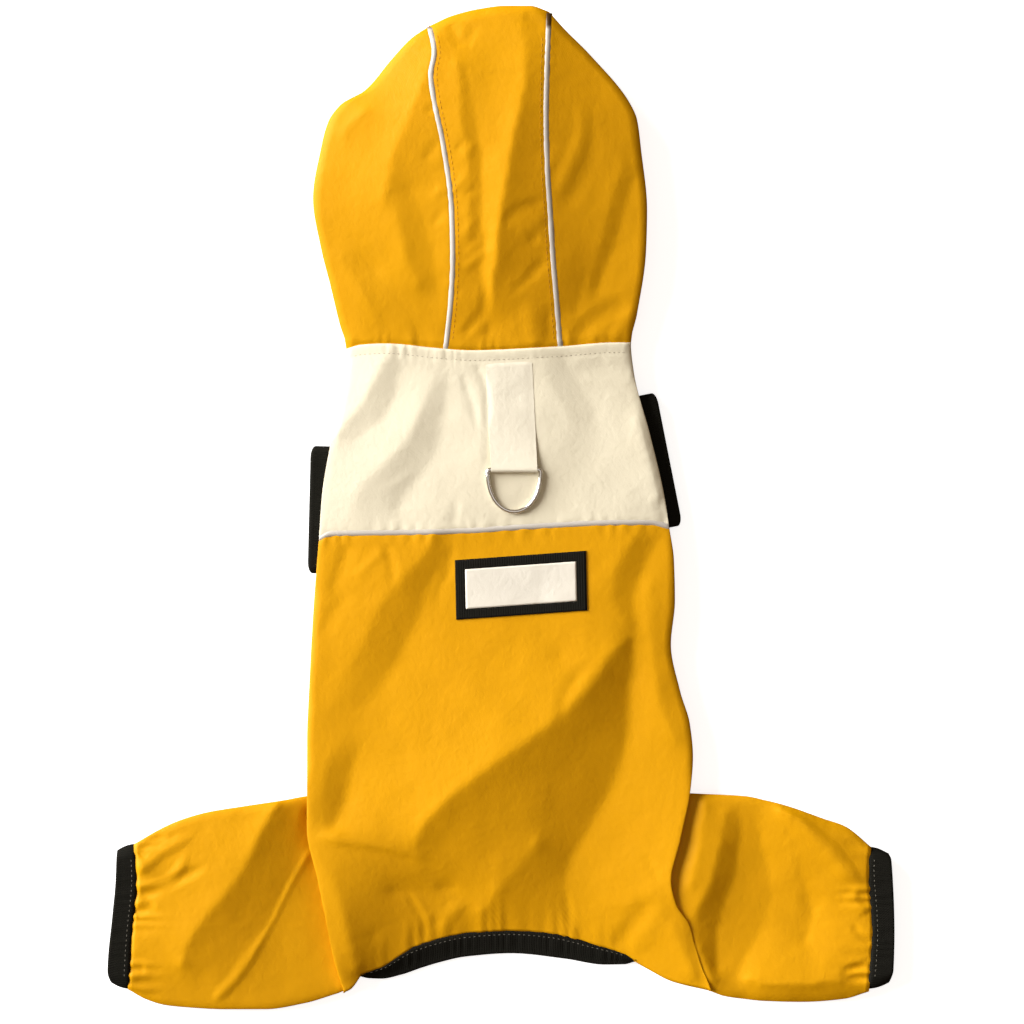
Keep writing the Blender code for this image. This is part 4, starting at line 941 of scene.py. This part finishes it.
def hood_middle_place(column, row):
    across = column / HOOD_MIDDLE_COLUMNS
    share = hood_rise(np.minimum(row, HOOD_ROWS))
    left_x, _ = hood_seam_point("left", share)
    right_x, _ = hood_seam_point("right", share)
    x = blend(left_x + HOOD_SEAM_GAP, right_x - HOOD_SEAM_GAP, across)
    y = blend(NECK_SEAM(x) - NECK_TUCK, CROWN_LINE(x), share)
    under = close_at_start((row - HOOD_ROWS) / HOOD_TURN_COLUMNS)
    half_width = FACE_HALF_WIDTH * math.cos(FOREHEAD_ANGLE)
    forehead_x = FACE_CENTRE[0] + half_width * (2 * across - 1)
    rest = (forehead_x - FACE_CENTRE[0]) / FACE_HALF_WIDTH
    forehead_y = FACE_CENTRE[1] + FACE_HALF_HEIGHT * np.sqrt(1 - rest**2)
    below = blend(x, forehead_x, under), blend(y, forehead_y, under)
    return hood_point(row > HOOD_ROWS, (x, y), below)


for side, sign, flat in (("left", -1, (120, 175)), ("right", 1, (105, 175))):
    panel = cloth(
        f"hood_{side}_shell", HOOD_SIDE_COLUMNS + HOOD_TURN_COLUMNS, HOOD_ROWS, hood_side_place(side, sign),
        yellow_cloth, turn_over=side == "left", joined=True,
    )
    sewn_on(panel, f"hood_{side}", flat=flat)
panel = cloth(
    "hood_center_shell", HOOD_MIDDLE_COLUMNS, HOOD_ROWS + HOOD_TURN_COLUMNS, hood_middle_place, yellow_cloth
)
sewn_on(panel, "hood_center", flat=(56, 235))
golden_thread = sewing_thread("golden_thread", (0.66, 0.29, 0.01))
TOPSTITCH_OFFSET = 2.9
topstitch_y = np.linspace(84, 236, 80)
topstitch_rows = [
    np.column_stack((HOOD_SEAM[side](topstitch_y) + inward * TOPSTITCH_OFFSET, topstitch_y))
    for side, inward in (("left", 1), ("right", -1))
]
stitches(
    "hood_topstitches", topstitch_rows, lambda x, y: hood_top(x, y) + 0.04, golden_thread,
    pitch=2.8, length=2.0, width=0.38,
)


# The piping
# A cord under grey retro-reflective tape, 3.5 mm wide, caught in the yoke seam and in both seams of the
# hood's middle panel, so that it stands proud along them.

PIPING_WIDTH, PIPING_FOOT, PIPING_CREST, PIPING_START = 3.5, -1.0, 0.35, 0.008
PIPING_FOLD_SHADE_Y = (238.5, 241.0)  # between these the tape is painted dark brown, a painted shade for the fold over the crown
PIPING_COLUMNS, PIPING_END_COLUMNS = 12, 2

piping_finish = Finish("grey_reflective_piping", (0.6, 0.6, 0.585), 0.42, specular=0.6)
piping_place = piping_finish.place()
grain, stains = piping_finish.noise(piping_place, 2600), piping_finish.noise(piping_place, 60)
tape_grey = piping_finish.mix(grain * 0.5 + stains * 0.5, (0.47, 0.43, 0.38), (0.64, 0.59, 0.52))
_, up_the_coat, _ = piping_finish.parts(piping_place)
# Painted shade: towards the crown the grey tape blends into a dark brown that stands in for the shadow in
# the fold over it.
fold_shade_start, fold_shade_end = (y * MM for y in PIPING_FOLD_SHADE_Y)
painted_fold_shade = piping_finish.add("ShaderNodeMapRange", None, {0: up_the_coat, 1: fold_shade_start, 2: fold_shade_end})
piping_finish.give("Base Color", piping_finish.mix(painted_fold_shade, tape_grey, (0.09, 0.045, 0.012)))
piping_finish.give("Normal", piping_finish.bump(grain, 0.00012, 0.6))


def piping_round(share):
    """Height of a cord's section over the seam, from one side of it to the other."""
    return blend(PIPING_FOOT, PIPING_CREST, np.sqrt(np.maximum(1 - (2 * share - 1) ** 2, 0)))


def hood_piping_place(side):
    def place(column, row):
        x, y = hood_seam_point(side, blend(PIPING_START, 1, hood_rise(row * (HOOD_ROWS - 1) / HOOD_ROWS)))
        across = close_at_ends(column / PIPING_COLUMNS)
        x = x + PIPING_WIDTH * (across - 0.5)
        return x, y, coat_top(x, y) + piping_round(across) - under_casing(x, y)

    return place


for side in ("left", "right"):
    piping = cloth(
        f"hood_piping_{side}_cord", PIPING_COLUMNS, HOOD_ROWS, hood_piping_place(side), piping_finish
    )
    sewn_on(piping, f"hood_piping_{side}")


def yoke_piping_place(column, row):
    x, y, _ = coat_place(column + SIDE_COLUMNS + PIPING_END_COLUMNS, 0, YOKE_SEAM, HEM_LINE)
    across = close_at_ends(row / PIPING_COLUMNS)
    y = y + PIPING_WIDTH * (0.5 - across)
    return x, y, coat_top(x, y) + piping_round(across)


piping = cloth(
    "yoke_piping_cord", TOP_COLUMNS - 2 * PIPING_END_COLUMNS, PIPING_COLUMNS, yoke_piping_place,
    piping_finish, turn_over=True,
)
sewn_on(piping, "yoke_piping")


# The rear hem's binding
# Black elastic folded over the hem's raw edge and stitched through, which gathers the back from leg to leg.

HEM_EDGE = Track(  # (x, y)
    (-72, -235.4), (-60, -236), (-50, -234), (-40, -230.6), (-30, -227.6), (-18, -225), (5, -223.3),
    (32, -226), (52, -229), (62, -228.8), (67, -228),
)
BINDING_START, BINDING_END, BINDING_COLUMNS, BINDING_ROWS, FOLDED_ROWS = -71, 67.5, 200, 16, 4
BINDING_LAP, BINDING_PROUD, BINDING_FOLD_HEIGHT = 0.6, 0.9, 2.5
BINDING_THICKNESS, BINDING_RETURN, BINDING_BULGE, BINDING_END_ROUND = 1.9, 2.0, 0.5, 5.0

# Black knitted elastic: fine ribs along the band and a dull surface.
binding_finish = Finish("black_elastic_binding", (0.006, 0.006, 0.004), 0.9, specular=0.1)
ribs, knit = thread_waves(binding_finish, 5200)
lint = binding_finish.noise(binding_finish.place(), 1500, detail=3)
binding_finish.give("Base Color", binding_finish.mix(lint, (0.004, 0.004, 0.003), (0.015, 0.014, 0.01)))
binding_finish.give("Normal", binding_finish.bump(ribs * 0.5 + knit * ribs * 0.5, 0.00018, 0.7))


def ripple(along, share, height, pitch, phase):
    """Waves of a gathered band, which end at its edges, where its share is 0 and 1."""
    return height * uneven_wave(along, pitch, phase) * np.sin(np.pi * np.minimum(share, 1))


def rear_binding_top(x, share):
    """Height of the binding over the hem, from its upper edge, where the share is 0, to its fold."""
    upper = HEM_HEIGHT(x) + BINDING_PROUD
    fold = BINDING_FOLD_HEIGHT + 0.4 * (HEM_HEIGHT(x) - HEM_HEIGHT(50))
    waves = ripple(x, share, height=0.25, pitch=4.4, phase=0.2)
    return blend(upper, fold, ease(share)) + waves - rolled(share, BINDING_PROUD, 0.12)


def rear_binding_place(column, row):
    x = blend(BINDING_START, BINDING_END, column / BINDING_COLUMNS)
    upper, lower = HEM_LINE(x) + BINDING_LAP, HEM_EDGE(x)
    share = row / (BINDING_ROWS - FOLDED_ROWS)
    from_end = np.minimum(x - BINDING_START, BINDING_END - x)
    y = blend(upper, lower, np.minimum(share, 1) * blend(0.35, 1, rounded(from_end / BINDING_END_ROUND)))
    under = np.clip((row - (BINDING_ROWS - FOLDED_ROWS)) / FOLDED_ROWS, 0, 1)
    y = y + BINDING_RETURN * close_at_start(under) - BINDING_BULGE * np.sin(np.pi * under)
    return x, y, rear_binding_top(x, share) - BINDING_THICKNESS * np.sin(np.pi / 2 * under)


binding = cloth(
    "rear_hem_elastic", BINDING_COLUMNS, BINDING_ROWS, rear_binding_place, binding_finish, wall=0.8,
    turn_over=True,
)
sewn_on(binding, "rear_hem_binding", flat=(136, 13))
binding_thread = sewing_thread("grey_thread", (0.2, 0.185, 0.15))
BINDING_STITCH_SHARE, STITCH_LIFT = 0.2, 0.02


def binding_stitches(name, x, y, height):
    line = np.column_stack((x, y))
    stitches(name, [line], height, binding_thread, pitch=2.5, length=1.3, width=0.36)


stitch_x = np.linspace(-66, 62, 90)
stitch_y = blend(HEM_LINE(stitch_x) + BINDING_LAP, HEM_EDGE(stitch_x), BINDING_STITCH_SHARE)
binding_stitches(
    "rear_hem_stitches", stitch_x, stitch_y,
    lambda x, y: rear_binding_top(x, BINDING_STITCH_SHARE) + STITCH_LIFT,
)


# The rear legs and their cuffs
# Two trouser legs of the golden cloth, flattened tubes that come out from under the back's rounded edges.
# Each ends in a band of the black elastic, which gathers it.

LEG = {
    "left": {
        "top": Track(  # (x, y)
            (-187, -170), (-167.5, -159), (-157.5, -155), (-146.5, -152), (-128, -149),
            (-108, -146), (-96.5, -144), (-75, -142.5),
        ),
        "bottom": Track(
            (-187, -241), (-178, -246), (-168, -249), (-158, -250), (-138, -251), (-118, -251),
            (-98, -248), (-86, -244.5), (-79, -242), (-74.5, -238.5), (-70, -232.5), (-62, -229),
        ),
        "cuff_inside": Track((-169, -184), (-186, -182.8), (-212, -185.2), (-241, -187)),  # (y, x)
        "cuff_outside": Track((-172, -192.5), (-187, -193), (-203, -194.5), (-232, -197), (-238, -195.5)),
        "outline": OUTLINE_LEFT,
        "corners": ((-204, -260), (-70, -134)),
        "inward": 1,
        "tuck": Track((-150, 9.7), (-205, 9.7), (-228, 20)),  # (y, length under the coat)
        "sag": Track((-187, 1.2), (-130, 1.6), (-75, 1.2)),  # (x, how far its lower edge sinks)
        "creases": (
            (
                (-113, -149, 10.8), (-119.5, -160, 12.2), (-124.5, -171, 12.9), (-130.5, -182, 13.1),
                (-137.5, -192, 13.3), (-147, -203, 13.3), (-155.5, -215, 13), (-159.5, -227, 12),
            ),
            (
                (-95.5, -171, 6.6), (-105.5, -188, 7.8), (-115.5, -208, 8.5), (-124, -223, 9.1),
                (-135.5, -237, 9.3), (-144.5, -246, 8.8),
            ),
            ((-103, -152, 8), (-101.5, -167, 7.2)),
            ((-97, -152, 5), (-95.5, -171, 5.4), (-89.5, -196, 5.8), (-83.5, -221, 6.2), (-78, -241, 6.6)),
            ((-179, -176, 10.4), (-180, -196, 10.2), (-182, -221, 10), (-183.5, -236, 9.6)),
        ),
        "wrinkles": (
            (0.42, 1.2, 2.6, 0.3, 0.2, 0.1, (-128, -228), (-115.5, -208), (-105.5, -188), (-95, -169)),
            (0.6, 4.5, 3.4, 0.3, 0.15, 0.5, (-145, -248), (-134, -237), (-124, -223), (-115, -207)),
            (0.6, 4, 4, 0.4, 0.1, 0.3, (-182, -182), (-168, -171), (-153, -163)),
            (0.6, 4, 4, 0.4, 0.1, 0.3, (-183, -192), (-165.5, -186), (-155.5, -171)),
            (-0.6, 4, 4, 0.4, 0.1, 0.3, (-182, -174), (-175.5, -167), (-166.5, -163)),
            (-0.8, 4, 4, 0.4, 0.1, 0.3, (-182, -194), (-163, -186), (-145.5, -178)),
            (-0.5, 4, 4, 0.4, 0.1, 0.3, (-183.5, -203), (-172, -196)),
            (-0.4, 4, 4, 0.4, 0.1, 0.3, (-186.5, -231), (-177.5, -230)),
        ),
    },
    "right": {
        "top": Track(
            (187, -171), (172, -159), (162, -155.5), (142, -148.5), (132, -146), (122, -144),
            (102, -143), (75, -142),
        ),
        "bottom": Track(
            (187, -241), (182, -243), (172, -246), (152, -247.5), (132, -247), (122, -246),
            (112, -244.5), (104.5, -241.8), (95, -238.8), (85, -235), (75, -229.8), (66, -226.5),
        ),
        "cuff_inside": Track((-170, 185.5), (-181, 184.5), (-211, 186.5), (-241, 184.5)),
        "cuff_outside": Track((-172, 194), (-176, 195.5), (-213, 197), (-231, 196.5), (-238, 194.5)),
        "outline": OUTLINE_RIGHT,
        "corners": ((70, -260), (204, -134)),
        "inward": -1,
        "tuck": Track((-150, 9.7), (-200, 9.7), (-228, 36)),
        "sag": Track((75, 0), (105, 1.2), (125, 3.4), (165, 3.4), (187, 1.4)),
        "creases": (
            ((94.5, -146, 8.9), (90, -171, 8.8), (86.5, -191, 9.2)),
            ((102.5, -147, 11), (99, -171, 11.6), (95, -188, 11.5)),
            (
                (112.5, -152, 10.7), (108.5, -171, 11.1), (105, -186, 11.2), (99.5, -197, 11.1),
                (96.5, -205, 10.4),
            ),
            ((94.5, -208, 10), (97.5, -216, 9.7), (100.5, -224, 9.5), (105, -235, 9.3)),
            (
                (119, -152, 9.4), (119, -171, 7.8), (117, -186, 7.1), (112.5, -198, 6.8),
                (108.5, -211, 6.5), (107.5, -221, 6.4), (108.5, -230, 6.8),
            ),
            (
                (126.5, -153, 9.3), (130.5, -171, 7.5), (134.5, -186, 6.6), (134.5, -201, 6.2),
                (129, -213, 6.1), (121.5, -225, 6.3), (118, -234, 7),
            ),
            (
                (142, -158, 10.7), (147, -176, 9.2), (152, -191, 7.3), (155.5, -203, 6.6),
                (152.5, -216, 6.7),
            ),
            (
                (139.5, -150, 11.4), (149.5, -157, 11.8), (162, -169, 11.7), (172, -181, 11.1),
                (183, -192, 10),
            ),
            ((180.5, -198, 9.4), (182.5, -221, 9.5)),
            ((123.5, -236, 9), (139.5, -238, 9.8), (159.5, -237, 10), (174.5, -234, 9.7)),
        ),
        "wrinkles": (
            (0.4, 3.5, 8, 0.25, 0.15, 0.2, (140, -150), (155, -160), (168, -172), (181, -190)),
            (0.5, 3.5, 8, 0.3, 0.2, 0.2, (176, -190), (184, -203)),
            (-0.4, 8, 8, 0.7, 0.45, 0.45, (147, -198), (156, -197), (164, -200)),
            (-0.5, 3, 3, 0.3, 0.3, 0.1, (177.5, -192), (186, -203)),
            (-0.5, 3, 3, 0.3, 0.3, 0.1, (174.5, -208), (185.5, -218)),
            (-0.6, 3, 3, 0.3, 0.3, 0.1, (168.5, -234), (185.5, -226)),
        ),
    },
}
LEG_HEIGHT = Track(  # (distance from the middle, top of the leg at its edges)
    (75, 7), (104, 8.4), (116, 9.4), (140, 9.8), (165, 9.2), (187, 8.8)
)
LEG_REACH, LEG_SHARE, TUCK_START, TUCK_LENGTH = 4.5, 0.86, 0.3, 1.5
LEG_BELOW_SIDE, LEG_BELOW_TOP = 0.7, 1.6  # how far the tucked leg lies under the coat's surfaces
CUFF_HEIGHT, CUFF_REACH, CUFF_SHARE, CUFF_NARROWING, CUFF_LAP = 9.4, 7.0, 0.5, 3.2, 0.8
CUFF_TOP_Y, CUFF_BOTTOM_X = -170.0, 187.0
LEG_TOP_COLUMNS, LEG_UNDER_COLUMNS, LEG_ROWS, CUFF_ROWS = 132, 36, 120, 10
LEG_COLUMNS, LEG_MIDDLE_Y, HIP_Y = LEG_TOP_COLUMNS + LEG_UNDER_COLUMNS, -200.0, -141.0


def tube_place(column, top_line, bottom_line, height, reach, share, x_at):
    """A point of a flattened tube's section: column runs over the top, then back under it.

    Its lines depend on x and its end on y, so the point is closed in on in a few rounds.
    """
    middle_x = x_at(LEG_MIDDLE_Y)
    x = x_at((top_line(middle_x) + bottom_line(middle_x)) / 2)
    on_top = column <= LEG_TOP_COLUMNS
    over = close_at_ends(column / LEG_TOP_COLUMNS)
    back = 1 - close_at_ends((column - LEG_TOP_COLUMNS) / LEG_UNDER_COLUMNS)
    for _ in range(5):
        top, bottom = top_line(x), bottom_line(x)
        y = blend(bottom, top, np.where(on_top, over, back))
        x = x_at(y)
    high = height(x, y)
    low = share * np.minimum(high, CUFF_HEIGHT + 1)
    edge = rounded((y - bottom) / reach) * rounded((top - y) / reach)
    inside = np.minimum(y - bottom, top - y)
    return x, y, np.where(on_top, blend(low, high, edge), rolled(inside, low, SIDE_ROUND))


def leg_place(shape):
    def rim(x, y):
        beside = (y <= shape["bottom"](x)) | (y >= shape["top"](x))
        edge = LEG_HEIGHT(np.abs(x)) - np.where(y <= shape["bottom"](x), shape["sag"](x), 0)
        beyond = np.abs(x) > np.abs(shape["cuff_inside"](y))
        return np.where(beyond, CUFF_HEIGHT, np.where(beside, edge, np.nan))

    form = Stretched(shape["creases"], *shape["corners"], rim)

    def hip_x(y):
        return shape["outline"](np.minimum(y, HIP_Y)) + shape["inward"] * shape["tuck"](y)

    def place(column, row):
        share = row / LEG_ROWS
        share = blend(share, share**2, 0.5)

        def x_at(y):
            return blend(shape["cuff_inside"](y), hip_x(y), share)

        def height(x, y):
            return form(x, y) + fold_heights(shape["wrinkles"], x, y) + unevenness(x, y, 14, 6.5, seed=5)

        x, y, z = tube_place(column, shape["top"], shape["bottom"], height, LEG_REACH, LEG_SHARE, x_at)
        from_cuff = np.abs(x - shape["cuff_inside"](y))
        pleats = within(y, shape["bottom"](x), shape["top"](x), 6, 6) * puckers(
            y, from_cuff, height=0.5, reach=26, pitch=7.6, phase=0.5 + shape["inward"], fall=1.6
        )
        under_band = 0.7 * fade(from_cuff, 2)
        z = z + np.where(column <= LEG_TOP_COLUMNS, pleats - under_band, 0.5 * np.abs(pleats))
        tucked = ease((shape["inward"] * (x - shape["outline"](y)) - TUCK_START) / TUCK_LENGTH)
        below_coat = np.minimum(underlay(x, y) - LEG_BELOW_SIDE, coat_top(x, y) - LEG_BELOW_TOP)
        return x, y, blend(z, np.minimum(z, below_coat), tucked)

    return place


def cuff_top(y, share):
    """Height of a leg cuff's band, from the leg's seam, where the share is 0, to its outer edge."""
    waves = ripple(y, share, height=0.22, pitch=4.6, phase=1.1)
    return CUFF_HEIGHT + 0.25 + waves - rolled(share, 0.8, 0.15)


def cuff_place(shape):
    sign = -shape["inward"]
    inner_top = shape["top"](shape["cuff_inside"](CUFF_TOP_Y))
    inner_bottom = shape["bottom"](sign * CUFF_BOTTOM_X)

    def place(column, row):
        share = row / CUFF_ROWS

        def x_at(y):
            return blend(shape["cuff_inside"](y) - sign * CUFF_LAP, shape["cuff_outside"](y), share)

        def top_line(x):
            return inner_top - CUFF_NARROWING * share**2

        def bottom_line(x):
            return inner_bottom + CUFF_NARROWING * share**2

        def height(x, y):
            return cuff_top(y, share)

        return tube_place(column, top_line, bottom_line, height, CUFF_REACH, CUFF_SHARE, x_at)

    return place


for side, shape in LEG.items():
    on_left = side == "left"
    leg = cloth(
        f"leg_{side}_shell", LEG_COLUMNS, LEG_ROWS, leg_place(shape), yellow_cloth, turn_over=on_left,
        joined=True,
    )
    sewn_on(leg, f"leg_{side}", flat=(200, 105))
    cuff = cloth(
        f"leg_cuff_{side}_elastic", LEG_COLUMNS, CUFF_ROWS, cuff_place(shape), binding_finish, wall=1.5,
        turn_over=not on_left, joined=True,
    )
    sewn_on(cuff, f"leg_cuff_{side}", flat=(150, 11.5))
    stitch_y = np.linspace(-235, -174, 50)
    stitch_x = blend(shape["cuff_inside"](stitch_y), shape["cuff_outside"](stitch_y), BINDING_STITCH_SHARE)
    binding_stitches(
        f"leg_cuff_{side}_stitches", stitch_x, stitch_y,
        lambda x, y: cuff_top(y, BINDING_STITCH_SHARE) + STITCH_LIFT,
    )


# The front leg holes' cuffs
# Two rings of the same black elastic that lie flattened under the yoke's edges. Their outer rims show.

FRONT_CUFF_WIDTH, FRONT_CUFF_HEIGHT = 12.0, 7.2
FRONT_CUFFS = (  # side, length, x and y of the outer edge's middle, turn in degrees, side sign
    ("left", 64.0, -96.2, -0.5, -1.4, -1),
    ("right", 68.0, 84.4, 25.0, 11.2, 1),
)
FLAT_COLUMNS, ROUND_COLUMNS, FRONT_ROWS = 40, 10, 12
CORNER_CUT, CORNER_LENGTH = 2.4, 6.0


def front_cuff_place(length, edge_x, edge_y, degrees, sign):
    turn, radius = math.radians(degrees), FRONT_CUFF_HEIGHT / 2
    half_flat = (length - FRONT_CUFF_HEIGHT) / 2

    def place(column, row):
        half_turn, rest = np.divmod(column, FLAT_COLUMNS + ROUND_COLUMNS)
        direction = np.where(half_turn % 2 == 0, 1, -1)
        angle = np.pi / 2 - np.pi * np.clip((rest - FLAT_COLUMNS) / ROUND_COLUMNS, 0, 1)
        on_flat = rest <= FLAT_COLUMNS
        flat_along = blend(-half_flat, half_flat, rest / FLAT_COLUMNS)
        along = np.where(on_flat, flat_along, half_flat + radius * np.cos(angle))
        high = np.where(on_flat, radius, radius * np.sin(angle))
        along, high = along * direction, high * direction + radius
        share = row / FRONT_ROWS
        sunk = rolled(share, 0.6, 0.1) + 0.15 * uneven_wave(along, 4.2, 0.8) * direction
        high = blend(radius, high, 1 - sunk / radius)
        corner = rolled(length / 2 - np.abs(along), CORNER_CUT, CORNER_LENGTH) * fade(share, 0.5)
        inward = -sign * (FRONT_CUFF_WIDTH * share + corner)
        x = edge_x + inward * math.cos(turn) - along * math.sin(turn)
        y = edge_y + inward * math.sin(turn) + along * math.cos(turn)
        return x, y, high

    return place


for side, length, *where in FRONT_CUFFS:
    cuff = cloth(
        f"front_cuff_{side}_elastic", 2 * (FLAT_COLUMNS + ROUND_COLUMNS), FRONT_ROWS,
        front_cuff_place(length, *where), binding_finish, wall=1.1, turn_over=side == "left", joined=True,
    )
    sewn_on(cuff, f"front_cuff_{side}", flat=(2 * length + 8, 12))


# The belly
# Two pieces of the golden cloth under the coat, which close over each other along the middle.

BELLY_MIDDLE, BELLY_HALF_WIDTH, BELLY_INSET = -6.0, 76.0, 10.0
BELLY_LAP, BELLY_STEP, BELLY_STEP_START, BELLY_STEP_LENGTH = 10.0, 1.3, 9.0, 8.0
BELLY_REAR_MIDDLE_Y, BELLY_REAR_SIDE_Y = -100.0, -172.0
BELLY_COLUMNS, BELLY_ROWS = 26, 60


def belly_place(outline, sign):
    def place(column, row):
        across, down = column / BELLY_COLUMNS, row / BELLY_ROWS
        y = blend(NECK_SEAM(BELLY_MIDDLE), BELLY_REAR_SIDE_Y, down)
        for _ in range(3):
            x = blend(outline(y) + sign * BELLY_INSET, BELLY_MIDDLE + sign * BELLY_LAP, across)
            off_middle = np.minimum(np.abs((x - BELLY_MIDDLE) / BELLY_HALF_WIDTH), 1)
            rear_y = blend(BELLY_REAR_MIDDLE_Y, BELLY_REAR_SIDE_Y, off_middle**2)
            y = blend(NECK_SEAM(BELLY_MIDDLE) - SEAM_GAP, rear_y, down)
        past_step = x - (BELLY_MIDDLE - BELLY_LAP - BELLY_STEP_START)
        lies_over = BELLY_STEP if sign > 0 else 0
        return x, y, lies_over * ease(past_step / BELLY_STEP_LENGTH)

    return place


for side, outline, sign in (("left", OUTLINE_LEFT, 1), ("right", OUTLINE_RIGHT, -1)):
    belly = cloth(
        f"belly_{side}_shell", BELLY_COLUMNS, BELLY_ROWS, belly_place(outline, sign), yellow_cloth,
        turn_over=side == "right",
    )
    sewn_on(belly, f"belly_{side}", flat=(85, 250), area=85 * 215)


# The label
# A plain woven cream patch in a black woven frame, sewn on the back below the yoke seam.

LABEL_CENTRE, LABEL_SIZE, LABEL_BORDER = (10.0, -38.3), (65.6, 29.8), 5.0
LABEL_TURN, LABEL_LEAN = math.radians(4.1), 0.3  # its short sides turn less than its long ones
LABEL_COLUMNS, LABEL_ROWS, PATCH_COLUMNS, PATCH_ROWS = 66, 30, 56, 22


def label_place(columns, rows, margin, lift):
    def place(column, row):
        along = blend(margin, LABEL_SIZE[0] - margin, column / columns) - LABEL_SIZE[0] / 2
        up = blend(margin, LABEL_SIZE[1] - margin, row / rows) - LABEL_SIZE[1] / 2
        x = LABEL_CENTRE[0] + along * math.cos(LABEL_TURN) - up * math.sin(LABEL_TURN) * LABEL_LEAN
        y = LABEL_CENTRE[1] + along * math.sin(LABEL_TURN) + up * math.cos(LABEL_TURN)
        return x, y, coat_top(x, y) + lift

    return place


def in_window(column, row):
    """Whether a face of the frame's grid lies in the patch's window."""
    x, y = column / LABEL_COLUMNS * LABEL_SIZE[0], row / LABEL_ROWS * LABEL_SIZE[1]
    return all(LABEL_BORDER < at < side - LABEL_BORDER for at, side in zip((x, y), LABEL_SIZE))


label_frame = cloth(
    "label_frame", LABEL_COLUMNS, LABEL_ROWS, label_place(LABEL_COLUMNS, LABEL_ROWS, margin=0, lift=0.6),
    binding_finish, wall=0.7, cut=in_window,
)
window_area = (LABEL_SIZE[0] - 2 * LABEL_BORDER) * (LABEL_SIZE[1] - 2 * LABEL_BORDER)
frame_area = LABEL_SIZE[0] * LABEL_SIZE[1] - window_area
sewn_on(label_frame, "label_border", flat=LABEL_SIZE, area=frame_area)
label_finish = coated_cloth(
    "cream_woven_label", (0.86, 0.81, 0.7), (0.83, 0.775, 0.66), roughness=0.75, specular=0.2
)
label_patch = cloth(
    "label_patch", PATCH_COLUMNS, PATCH_ROWS,
    label_place(PATCH_COLUMNS, PATCH_ROWS, margin=LABEL_BORDER, lift=0.8), label_finish, wall=0.6,
)
sewn_on(label_patch, "label_insert", flat=(55.6, 19.8))


# The leash tab and its ring
# A cream tape that comes out of the neck casing, goes round the ring's bar and is stitched down on itself.
# The D-ring is bent from nickel-plated wire and swings on its bar.

TAPE_WIDTH, TAPE_WALL, TAPE_TOP_CENTRE_X, TAPE_RETURN_Y = 23.2, 0.35, 3.9, 32.0
RING_CENTRE_X, RING_BAR_Y, RING_WIRE, RING_CLEARANCE = 6.6, 19.4, 2.3, 0.12
LOOP_OUTSIDE = RING_WIRE / 2 + RING_CLEARANCE + TAPE_WALL
TAPE_LIFT, TAPE_CROWN, TAPE_CROWN_WIDTH, TAPE_SINK, TAPE_SINK_LENGTH, TAPE_RISE_LENGTH = (
    0.12, 0.15, 5.0, 0.5, 3.0, 26.0
)
BAR_HEIGHT = frame["joints"][0]["pos_m"][2] / MM
FLAT_ROWS, LOOP_ROWS, RETURN_ROWS, TAPE_COLUMNS = 60, 16, 14, 24


def tab_place(column, row):
    across = close_at_ends(column / TAPE_COLUMNS) - 0.5
    top_y = NECK_SEAM(TAPE_TOP_CENTRE_X + across * TAPE_WIDTH) - CASING_WIDTH - SEAM_GAP
    y = blend(top_y, RING_BAR_Y, np.minimum(row / FLAT_ROWS, 1) ** 1.3)
    centre = blend(TAPE_TOP_CENTRE_X, RING_CENTRE_X, (top_y - y) / (top_y - RING_BAR_Y))
    x = centre + across * TAPE_WIDTH
    angle = np.pi * np.clip((row - FLAT_ROWS) / LOOP_ROWS, 0, 1)
    back = np.clip((row - FLAT_ROWS - LOOP_ROWS) / RETURN_ROWS, 0, 1)
    y = y - LOOP_OUTSIDE * np.sin(angle) + (TAPE_RETURN_Y - RING_BAR_Y) * back
    lift = TAPE_LIFT + TAPE_CROWN * ease((0.5 - np.abs(across)) * TAPE_WIDTH / TAPE_CROWN_WIDTH)
    rest = coat_top(x, y) + lift - TAPE_SINK * fade(top_y - y, TAPE_SINK_LENGTH)
    near_ring = (1 - np.clip((y - RING_BAR_Y) / TAPE_RISE_LENGTH, 0, 1)) ** 2
    over = blend(rest, BAR_HEIGHT + LOOP_OUTSIDE, near_ring)
    under = np.maximum(BAR_HEIGHT - LOOP_OUTSIDE, coat_top(x, y) - 0.3)
    loop = BAR_HEIGHT + LOOP_OUTSIDE * np.cos(angle)
    height = np.where(row <= FLAT_ROWS, over, np.where(row <= FLAT_ROWS + LOOP_ROWS, loop, under))
    return x, y, height


tape_finish = coated_cloth(
    "cream_tape", (0.88, 0.815, 0.655), (0.85, 0.785, 0.625), roughness=0.65, specular=0.2
)
tab = cloth(
    "leash_tape", TAPE_COLUMNS, FLAT_ROWS + LOOP_ROWS + RETURN_ROWS, tab_place, tape_finish, wall=TAPE_WALL,
    turn_over=True,
)
sewn_on(tab, "leash_tab", flat=(23.2, 86))

ring_finish = Finish("polished_nickel", (0.9, 0.88, 0.85), 0.15, metallic=1.0)
smears = ring_finish.noise(ring_finish.place(), 420, detail=3)
ring_finish.give("Roughness", smears * 0.14 + 0.08)
maker = bmesh.new()
maker.from_mesh(frame["nodes"]["d_ring"].data)
bmesh.ops.remove_doubles(maker, verts=maker.verts, dist=0.00001)
ring = shown("d_ring_wire", maker, ring_finish)
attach(ring, "ring")
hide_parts("d_ring")
